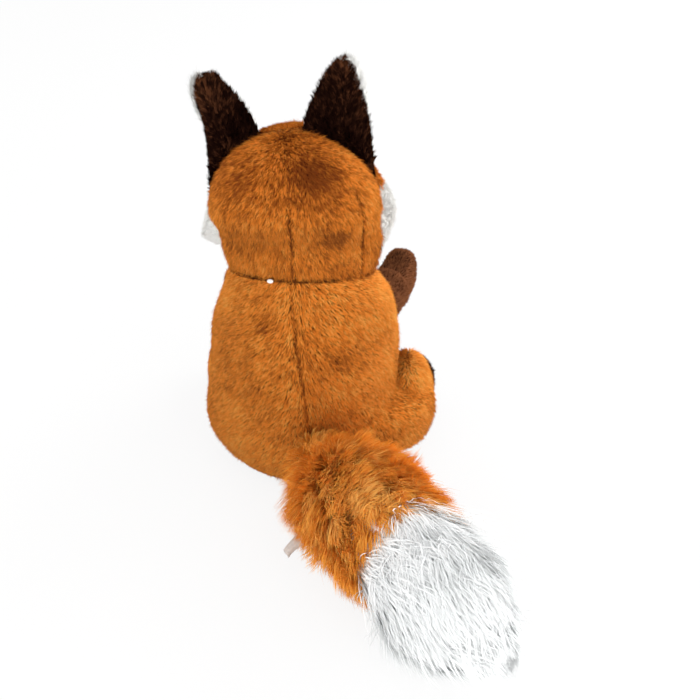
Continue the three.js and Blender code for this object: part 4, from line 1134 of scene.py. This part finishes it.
class PUPPET_OT_head(bpy.types.Operator):
    """Back of the head, forehead, cheeks and muzzle"""

    bl_idname = "puppet.head"
    bl_label = "Head"

    darts = tuple(  # skull's middle, start and end of each sewn line, how deep it shows: how far the cloth is drawn in, how short the pile is and how dark its painted shade is
        (SKULL_CENTRE, np.array(start, float), np.array(end, float), depth)
        for start, end, depth in (
            ((-7.6, 53, 45), (0, 55.5, -3), 0.7), ((-45.5, 30.4, 41.6), (-42, 30, -15), 1.0),
            ((29.4, 38.8, 53.2), (44, 35, 8), 0.5), ((-30, 3.5, 67), (32, 3.5, 67), 1.0))
    )
    lines = tuple((*map(HEAD.out, arc), depth) for *arc, depth in darts)  # the same on the body's axes
    fills = (  # middle, reach and shift of places where the stuffing has moved
        ((50, -14, -17), 20, (9, -3, 0)), ((-66, -12, 3), 22, (3, 0, 0)),
        ((63, -13, 1), 16, (8, 2, 0)), ((42, -14, -25), 14, (7, -2, 0)), ((57, 15, 5), 15, (-6, 0, 0)),
        ((47, 14, -14), 12, (2, 0, 0)),
    )
    painted_shading = (  # middle, reach and depth of painted shade on the back of the head, where the brushed nap shows its shaded depths
        ((-22, 38, 62), 15, 0.55), ((-30, 50, 19), 8, 0.45), ((9, 58, 27), 6, 0.30), ((26, 36, 60), 9, 0.15),
    )

    def execute(self, context):
        self.back()
        self.brow()
        for side, seed in (("left", 33), ("right", 34)):
            self.cheek(side, seed)
        self.muzzle()
        return {"FINISHED"}

    def back(self):
        def inside(p):
            return (p[..., 1] > EAR_SEAM) & (p @ NECK_IN_HEAD > -NECK_EDGE)

        cloth = self.patch((0, 0.9, 0.42), inside, 31, 84)
        local = HEAD.into(cloth.points)
        cloth.comb(stacked(local[..., 0] / 70, 0.5, -1) @ HEAD.axes, swirl=0.26, spacing=22, seed=31)
        # painted shade of the brushed nap
        for spot, reach, depth in self.painted_shading:
            cloth.mark(bell(far(local, spot), reach), tone=-depth)
        cloth.tone -= 0.1
        nodes = ("head_back_panel", "neck_seam_tape")
        self.finish("head_back_plush", "rust", cloth, 56000, 31, nodes, lines=self.lines)

    def brow(self):
        def inside(p):
            return (p[..., 1] < EAR_SEAM) & (p[..., 2] > BROW_HEIGHT)

        cloth = self.patch((0, -0.55, 0.8), inside, 32)
        self.comb_out(cloth, HEAD.out((0, -60, 30)), swirl=0.3, seed=32)
        self.clear_eyes(cloth)
        cloth.mark(bell(HEAD.into(cloth.points)[..., 1] - EAR_SEAM, 5), gain=-0.65)
        nodes = ("forehead_panel",)
        self.finish("forehead_plush", "rust", cloth, 25000, 32, nodes, scale=0.9, lines=self.lines)

    def cheek(self, side, seed):
        def inside(p):
            x, y, z = parts(p)
            return (y < EAR_SEAM) & (z < BROW_HEIGHT) & (x * WAY[side] > 0) & (p @ NECK_IN_HEAD > -NECK_EDGE)

        cloth = self.patch((0.85 * WAY[side], -0.5, -0.02), inside, seed)
        self.comb_out(cloth, HEAD.out((0, -62, 8)), swirl=0.3, seed=seed)
        cloth.tone += 0.1
        self.clear_eyes(cloth)
        self.finish(f"{side}_cheek_plush", "white", cloth, 19000, seed, (f"{side}_cheek_panel",), scale=0.8)

    def patch(self, pole, inside, seed, rows=54):
        """A patch of the head, drawn in along its seams and darts, with painted shade darkening the seam from
        ear to ear and the edge at the neck.
        """
        local = head_patch(pole, inside, rows, 2 * rows, inset=2.4)
        for middle, reach, shift in self.fills:
            near = bell(far(local, middle), reach) * (1 - bell(local @ NECK_IN_HEAD + NECK_EDGE, 5))
            local = local + near[..., None] * shift
        apart = np.abs(local[..., 1] - EAR_SEAM)
        pinch = bell(apart, 1.6) * (1 + ease((local[..., 2] - 55) / 10))
        for *dart, depth in self.darts:
            pinch = np.maximum(pinch, 0.7 * depth * bell(arc_distance(local, *dart)[0], 1.4))
        rise = local @ NECK_IN_HEAD
        neck = bell(rise + NECK_EDGE, 1.9)
        aside = local - rise[..., None] * NECK_IN_HEAD
        full = np.interp(rise, (-22, -15, -8, 3, 14), (45.6, 48, 50.2, 52.4, 53.5))
        gap = full - np.linalg.norm(aside, axis=-1)
        filled = 0.5 * (gap + np.hypot(gap, 4)) * ease((16 - rise) / 14)
        local = local + unit(aside) * filled[..., None]
        puff = drift(local, 30, seed)[..., 0] * (1 - bell(rise + NECK_PIVOT_RISE, 12))
        local = local * (1 - (2.2 * pinch + 0.9 * neck + puff) / np.linalg.norm(local, axis=-1))[..., None]
        cloth = Cloth(HEAD.out(local), HEAD.out((0, 3, 18)), closed=True)
        # painted shade in the groove of the seam from ear to ear and at the neck's edge, where head and body
        # meet
        cloth.shade(seed).mark(bell(apart, 1.6), tone=-0.34, gain=-0.55)
        return cloth.mark(neck, tone=-0.3, gain=-0.3)

    def comb_out(self, cloth, source, swirl, seed):
        """Lays the pile away from a point, which the nap fans from."""
        cloth.comb(cloth.points - source, swirl=swirl, spacing=20, seed=seed)

    def clear_eyes(self, cloth):
        for way in WAY.values():
            cloth.mark(bell(far(cloth.points, HEAD.out(eye_seat(way))), 9), tone=-0.1, gain=-0.7)

    def finish(self, name, kind, cloth, count, seed, nodes, **how):
        piece = plush(name, kind, cloth, count, seed, nodes, fill=0.85, **how)
        bend(piece)

    def muzzle(self):
        points = HEAD.out(limb_points(MUZZLE_ROWS, MUZZLE, rings=40, sides=64))
        cloth = Cloth(points, HEAD.out(MUZZLE.at(50)), closed=True, inset=2.2)
        tip = HEAD.out(MUZZLE.at(MUZZLE_LENGTH))
        self.comb_out(cloth, tip, swirl=0.25, seed=35)
        cloth.shade(35).mark(bell(far(cloth.points, tip), 16), gain=-0.45)
        cloth.tone += 0.1
        nodes = ("muzzle", "head_stuffing")
        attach(plush("muzzle_plush", "white", cloth, 17000, 35, nodes, fill=0.85, scale=0.75), "head")


class PUPPET_OT_face(bpy.types.Operator):
    """Eyes, nose and sewn mouth, and what holds them behind the cloth"""

    bl_idname = "puppet.face"
    bl_label = "Face"

    def execute(self, context):
        gloss = grained("Gloss plastic", "black", speckle(), scale=220, rough=0.12, depth=0.00003,
                        tones=(0.8, 1.3))
        for side in WAY:
            self.eye(side, gloss)
        self.nose(gloss)
        self.mouth()
        card = grained("Rolled card", "card", speckle(), scale=700, rough=0.9, depth=0.0003)
        for name, finish in (("left_eye_washer", nylon()), ("right_eye_washer", nylon()),
                             ("nose_washer", nylon()), ("head_finger_tube", card)):
            materials = frame["nodes"][name].data.materials
            materials.clear()
            materials.append(finish)
        return {"FINISHED"}

    def eye(self, side, gloss):
        """A round button: a domed lathe profile with a rolled rim, on the way out of the head."""
        seat = eye_seat(WAY[side])
        axes = limb_axes(seat, (seat - SKULL_CENTRE) / SKULL**2)
        points = limb_points(EYE_ROWS, axes, rings=48, sides=48)
        cloth = Cloth(HEAD.out(points), HEAD.out(seat), closed=True)
        shell(f"{side}_eye_button", cloth, gloss, f"{side}_eye", "head")

    def nose(self, gloss):
        """An egg with two dimples for nostrils and a shallow groove down its middle."""
        middle = np.array([0, NOSE_LIFT, MUZZLE_LENGTH - NOSE_SUNK])
        local = MUZZLE.into(egg_points(NOSE, middle, MUZZLE, rings=49, sides=72)) - middle
        side = np.abs(local[..., 0])
        dent = 1.5 * bell(np.hypot(side - 4, local[..., 1] + 2.5), 1.8) + 0.8 * bell(side, 0.8)
        dent = np.where(local[..., 2] > 0, dent, 0)
        local = local - unit(local) * dent[..., None] + middle
        cloth = Cloth(HEAD.out(MUZZLE.out(local)), HEAD.out(MUZZLE.out(middle)), closed=True)
        shell("nose_button", cloth, gloss, "nose", "head")

    def mouth(self):
        """A row of stitches: a thin round section that swells at each stitch, carried along an arc
        under the muzzle."""
        half_width, half_height, stitches = 21.0, 17.6, 11
        t, around = np.linspace(-1, 1, 241)[:, None], turns(12)[None]
        turn = -np.pi / 2 + MOUTH_HALF_ANGLE * t
        swell = np.abs(np.sin(stitches * np.pi * (t + 1) / 2))
        thick = 0.95 * (0.55 + 0.45 * swell) * np.sqrt(1 - 0.98 * t**8)

        def arc(out, along):
            local = stacked((half_width + out) * np.cos(turn), (half_height + out) * np.sin(turn), along)
            return HEAD.out(MUZZLE.out(local))

        points = arc(thick * np.cos(around), MOUTH_ALONG + thick * np.sin(around))
        cloth = Cloth(points, arc(0, MOUTH_ALONG), closed=True)
        thread = grained("Mouth thread", "thread", speckle(), scale=900, rough=0.7, depth=0.0003)
        shell("mouth_stitches", cloth, thread, "mouth_stitch", "head")


class PUPPET_OT_ears(bpy.types.Operator):
    """Brown backs and white linings of the ears"""

    bl_idname = "puppet.ears"
    bl_label = "Ears"

    def execute(self, context):
        for side, seed in (("left", 41), ("right", 45)):
            self.ear(side, seed)
        return {"FINISHED"}

    def ear(self, side, seed):
        """Two sheets on either side of the ear's middle, swollen between its edges. The lining also
        reaches past the outer edge."""
        s, q = np.meshgrid(np.linspace(-0.10, 0.94, 50), np.linspace(-1, 1, 41), indexing="ij")
        middle = ear_points(side, s, q)
        outward = np.array([WAY[side], 0, 0])
        full = 5 * np.sqrt(np.clip(1 - q * q, 0, 1)) * np.clip(4 * s + 0.7, 0, 1) * np.sqrt(1 - s)
        swell = np.clip(full - 1.8, 0, None)
        outer = ease((q - 0.5) / 0.5)
        past = EAR_FRINGE[side] * outer * ease((s - 0.35) / 0.3)
        across = HEAD.out(middle + q[..., None] * outward) - HEAD.out(middle)
        pivot = PIVOT[f"{side}_ear_fold"] - ORIGIN
        tip = HEAD.out(ear_points(side, np.array([1.0]), np.array([0.0])))[0]
        upward = unit(tip - pivot)
        for name, kind, way, depth, edge, spill in (
            ("back", "brown", 1, 0.15, 0 * past, 0.35),
            ("lining", "white", -1, 0.9, past, 0.4 + 1.6 * ease((q - 0.3) / 0.6)[..., None]),
        ):
            points = HEAD.out(middle + (0, way, 0) * (depth + swell)[..., None] + edge[..., None] * outward)
            cloth = Cloth(points, HEAD.out(middle).mean((0, 1)) - (0, 60 * way, 0))
            cloth.comb(upward + spill * across, swirl=0.3, spacing=14, seed=seed).shade(seed)
            if kind == "brown":
                # painted shade: the brown backs are darkest at the base, where the ear meets the head, and
                # lighter towards the tip
                cloth.tone += 0.27 * ease((s - 0.05) / 0.8) - 0.2
                how = {"lean": 0.95, "spread": 0.5}
            else:
                fringe = outer * ease((s - 0.3) / 0.4)
                cloth.tone += 0.15
                cloth.mark(fringe, gain=1.8)
                cloth.stand = 1 + 0.4 * fringe
                cloth.density = ease(s / 0.1) + 0.01 + 2 * fringe
                how = {"lean": 1.0}
            nodes = (f"{side}_ear_{name}",)
            piece = plush(f"{nodes[0]}_plush", kind, cloth, 12500, seed, nodes, fill=0.5, scale=0.85, **how)
            bend(piece)
            seed += 1


class PUPPET_OT_arms(bpy.types.Operator):
    """Sleeves and mitten paws"""

    bl_idname = "puppet.arms"
    bl_label = "Arms"

    def execute(self, context):
        for side, seed in (("left", 51), ("right", 53)):
            arm = ARMS[side]
            paw = Axes(arm.at(WRIST_ALONG), arm.axes)
            sleeve = tube(SLEEVE_ROWS, arm, rings=28, sides=56, middle=8, inset=2.2)
            piece = self.brown(f"{side}_sleeve", sleeve, 8000, seed, arm.axes[2], 0.7)
            bend(piece)
            mitten = tube(PAW_ROWS, paw, rings=44, sides=60, middle=12, inset=2.6, power=0.75)
            piece = self.brown(f"{side}_paw", mitten, 12000, seed + 1, arm.axes[2], 0.6)
            bend(piece)
        return {"FINISHED"}

    def brown(self, name, cloth, count, seed, aim, scale):
        cloth.shade(seed).comb(aim - 0.2 * UP, swirl=0.3, seed=seed)
        cloth.tone += 0.4
        return plush(f"{name}_plush", "brown", cloth, count, seed, (name,), fill=0.4, scale=scale, spread=0.3)


class PUPPET_OT_legs(bpy.types.Operator):
    """Haunches and feet"""

    bl_idname = "puppet.legs"
    bl_label = "Legs"

    def execute(self, context):
        for side, seed in (("left", 61), ("right", 63)):
            leg = LEGS[side]
            haunch = tube(HAUNCH_ROWS, leg, rings=44, sides=84, middle=16, inset=HAUNCH_INSET[side])
            haunch.shade(seed).comb((0, 0.35, -1.0), swirl=0.3, seed=seed)
            # painted sheen: the haunches are a little paler, like plush seen edge-on
            haunch.tone += 0.1
            nodes = (f"{side}_leg_cover", f"{side}_leg_stuffing")
            piece = plush(f"{side}_haunch_plush", "rust", haunch, 27000, seed, nodes, fill=0.8)
            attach(piece, f"{side}_leg")
            points = egg_points(FOOT, FOOT_PLACE, leg, rings=40, sides=64)
            foot = Cloth(points, leg.out(FOOT_PLACE), closed=True, inset=2.4)
            foot.shade(seed + 1).comb((0, -1, -0.4), swirl=0.3, seed=seed + 1)
            nodes = (f"{side}_foot",)
            piece = plush(f"{side}_foot_plush", "brown", foot, 9000, seed + 1, nodes, fill=0.8, scale=0.8)
            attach(piece, f"{side}_leg")
        return {"FINISHED"}


class PUPPET_OT_tail(bpy.types.Operator):
    """Orange brush and white tip of the tail"""

    bl_idname = "puppet.tail"
    bl_label = "Tail"

    def execute(self, context):
        self.brush(context.scene.fox_sizes)
        self.tip(context.scene.fox_sizes)
        return {"FINISHED"}

    def brush(self, sizes):
        aim = TAIL.axes[2]
        brush = tube(TAIL_ROWS, TAIL, rings=60, sides=72, middle=50, inset=8.5)
        aside, above, along = parts(TAIL.into(brush.points))
        brush.shade(71, broad=0.1, fine=0.08).comb(aim, swirl=0.7, spacing=15, seed=71)
        brush.mark(bell(along, 15) * ease((above + 8) / 16) * ease((18 - aside) / 20), gain=-0.5)
        brush.mark(bell(along - 24, 18) * ease(-aside / 18) * ease((14 - above) / 16), gain=0.35)
        brush.stand = 0.55 + 0.45 * ease((along - 5) / 60)
        brush.tone += 0.15
        reach, lock = sizes.fur_length * 1000, sizes.lock * 800
        strands = locks(brush, amount(38000), 71, reach, lean=0.85, lock=lock, width=0.65, pull=0.5, sway=1.0)
        fur = fibre("Orange fur", "fur", root=0.78, sheen=0.06)
        nodes = ("tail_cover", "tail_stuffing")
        piece = make("tail_brush_fur", [brush.skin(), strands], fur, nodes)
        bend(piece)

    def tip(self, sizes):
        """The white fur: a flat undercoat with a few loose hairs over it, shorter and closer at the end."""
        seam = Axes(TAIL.at(TAIL_SEAM), TAIL.axes)
        aim = seam.axes[2]
        tip = tube(TIP_ROWS, seam, rings=60, sides=72, middle=40, inset=5)
        tip.shade(72, broad=0.12, fine=0.08).comb(aim, swirl=0.25, spacing=30, seed=72)
        aside, _, along = parts(seam.into(tip.points))
        end = ease((dot(tip.normal, aim)[..., 0] - 0.5) / 0.45)
        tip.mark(ease((along - 25) / 70), gain=-0.36).mark(end, gain=-0.25)
        tip.stand = (1 - 0.8 * end) * (1 - 0.2 * bell(along, 8))
        tip.density = ease((along + 6 - 10 * ease((5 - aside) / 25)) / 5) * (1 + 2 * end)
        tip.tone += 0.12
        reach, lock = sizes.tip_length * 1000, sizes.lock * 1500
        flat = locks(tip, amount(13000), 75, reach, lean=1.45, lock=lock, width=1.0, pull=0.45, twist=0.25,
                     droop=0.0, sway=0.8, uneven=0.1, roll=0.1)
        loose = locks(tip, amount(3500), 76, reach, lean=1.25, lock=lock, width=0.7, pull=0.5, twist=0.5,
                      droop=0.0, uneven=0.3, roll=0.2)
        fur = fibre("White fur", "tip", root=1.0, sheen=0.6)
        nodes = ("tail_tip_cover", "tail_tip_stuffing")
        piece = make("tail_tip_fur", [tip.skin(), flat, loose], fur, nodes)
        bend(piece)


class PUPPET_OT_trim(bpy.types.Operator):
    """Care label and tag barb"""

    bl_idname = "puppet.trim"
    bl_label = "Trim"

    def execute(self, context):
        self.label()
        self.barb()
        return {"FINISHED"}

    def label(self):
        """A limp blank tag: a sheet from the tail's side outwards, curled and creased."""
        out, across = np.meshgrid(np.linspace(0, 1, 33), np.linspace(-1, 1, 29), indexing="ij")
        width, long, turn = LABEL["width"], LABEL["length"], LABEL["turn"]
        reach = LABEL["inner"] + long * out
        bow = 0.6 + 2.1 * ease(out)
        curl = across * bow
        fold = width / 2 / bow * (1 - np.cos(curl)) + 0.7 * np.sin(6 * out + 2 * across) * out
        x = reach * np.cos(turn) - fold * np.sin(turn)
        y = reach * np.sin(turn) + fold * np.cos(turn) - 6 * out**2
        points = TAIL.out(stacked(x, y, LABEL["along"] + width / 2 / bow * np.sin(curl)))
        cloth = Cloth(points, points.mean((0, 1)) - 50 * UP)
        tris = cloth.triangles(np.arange(out.size).reshape(out.shape))
        uv = stacked(out, (across + 1) / 2).reshape(-1, 2)
        satin = grained("Label satin", "label", weave(), scale=26, rough=0.55, depth=0.0003, mapped=True,
                        tones=(0.75, 1.2))
        blocks = [(cloth.points.reshape(-1, 3), tris, uv)]
        label = make("label_tag", blocks, satin, ("care_label",))
        label.modifiers.new("Thickness", "SOLIDIFY").thickness = 0.0004
        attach(label, "tail")

    def barb(self):
        """The end of a tag barb: a small bar with rounded ends and a waist."""
        low, high = (np.array(c) * 1000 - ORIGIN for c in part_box("tag_barb"))
        axes = Axes((low + high) / 2, [(0, 1, 0), UP, (1, 0, 0)])
        cloth = tube(BARB_ROWS, axes, rings=40, sides=24, middle=0, inset=0.0)
        shell("barb_end", cloth, nylon(), "tag_barb", "body")


OPERATORS = (
    PUPPET_OT_stage, PUPPET_OT_body, PUPPET_OT_hand_space, PUPPET_OT_head, PUPPET_OT_face,
    PUPPET_OT_ears, PUPPET_OT_arms, PUPPET_OT_legs, PUPPET_OT_tail, PUPPET_OT_trim,
)


class PUPPET_PT_panel(bpy.types.Panel):
    """Settings and steps of the puppet"""

    bl_label = "Fox hand puppet"
    bl_idname = "PUPPET_PT_panel"
    bl_space_type = "VIEW_3D"
    bl_region_type = "UI"
    bl_category = "Puppet"

    def draw(self, context):
        for settings in (context.scene.fox_sizes, context.scene.fox_colours):
            box = self.layout.box()
            for key in settings.bl_rna.properties.keys():
                if key not in ("rna_type", "name"):
                    box.prop(settings, key)
        for operator in OPERATORS:
            self.layout.operator(operator.bl_idname)


CLASSES = (FoxSizes, FoxColours, *OPERATORS, PUPPET_PT_panel)


def register():
    for made in CLASSES:
        bpy.utils.register_class(made)
    bpy.types.Scene.fox_sizes = PointerProperty(type=FoxSizes)
    bpy.types.Scene.fox_colours = PointerProperty(type=FoxColours)


def unregister():
    del bpy.types.Scene.fox_sizes, bpy.types.Scene.fox_colours
    for made in reversed(CLASSES):
        bpy.utils.unregister_class(made)


def main():
    register()
    for operator in OPERATORS:
        space, name = operator.bl_idname.split(".")
        getattr(getattr(bpy.ops, space), name)()


if __name__ == "__main__":
    main()
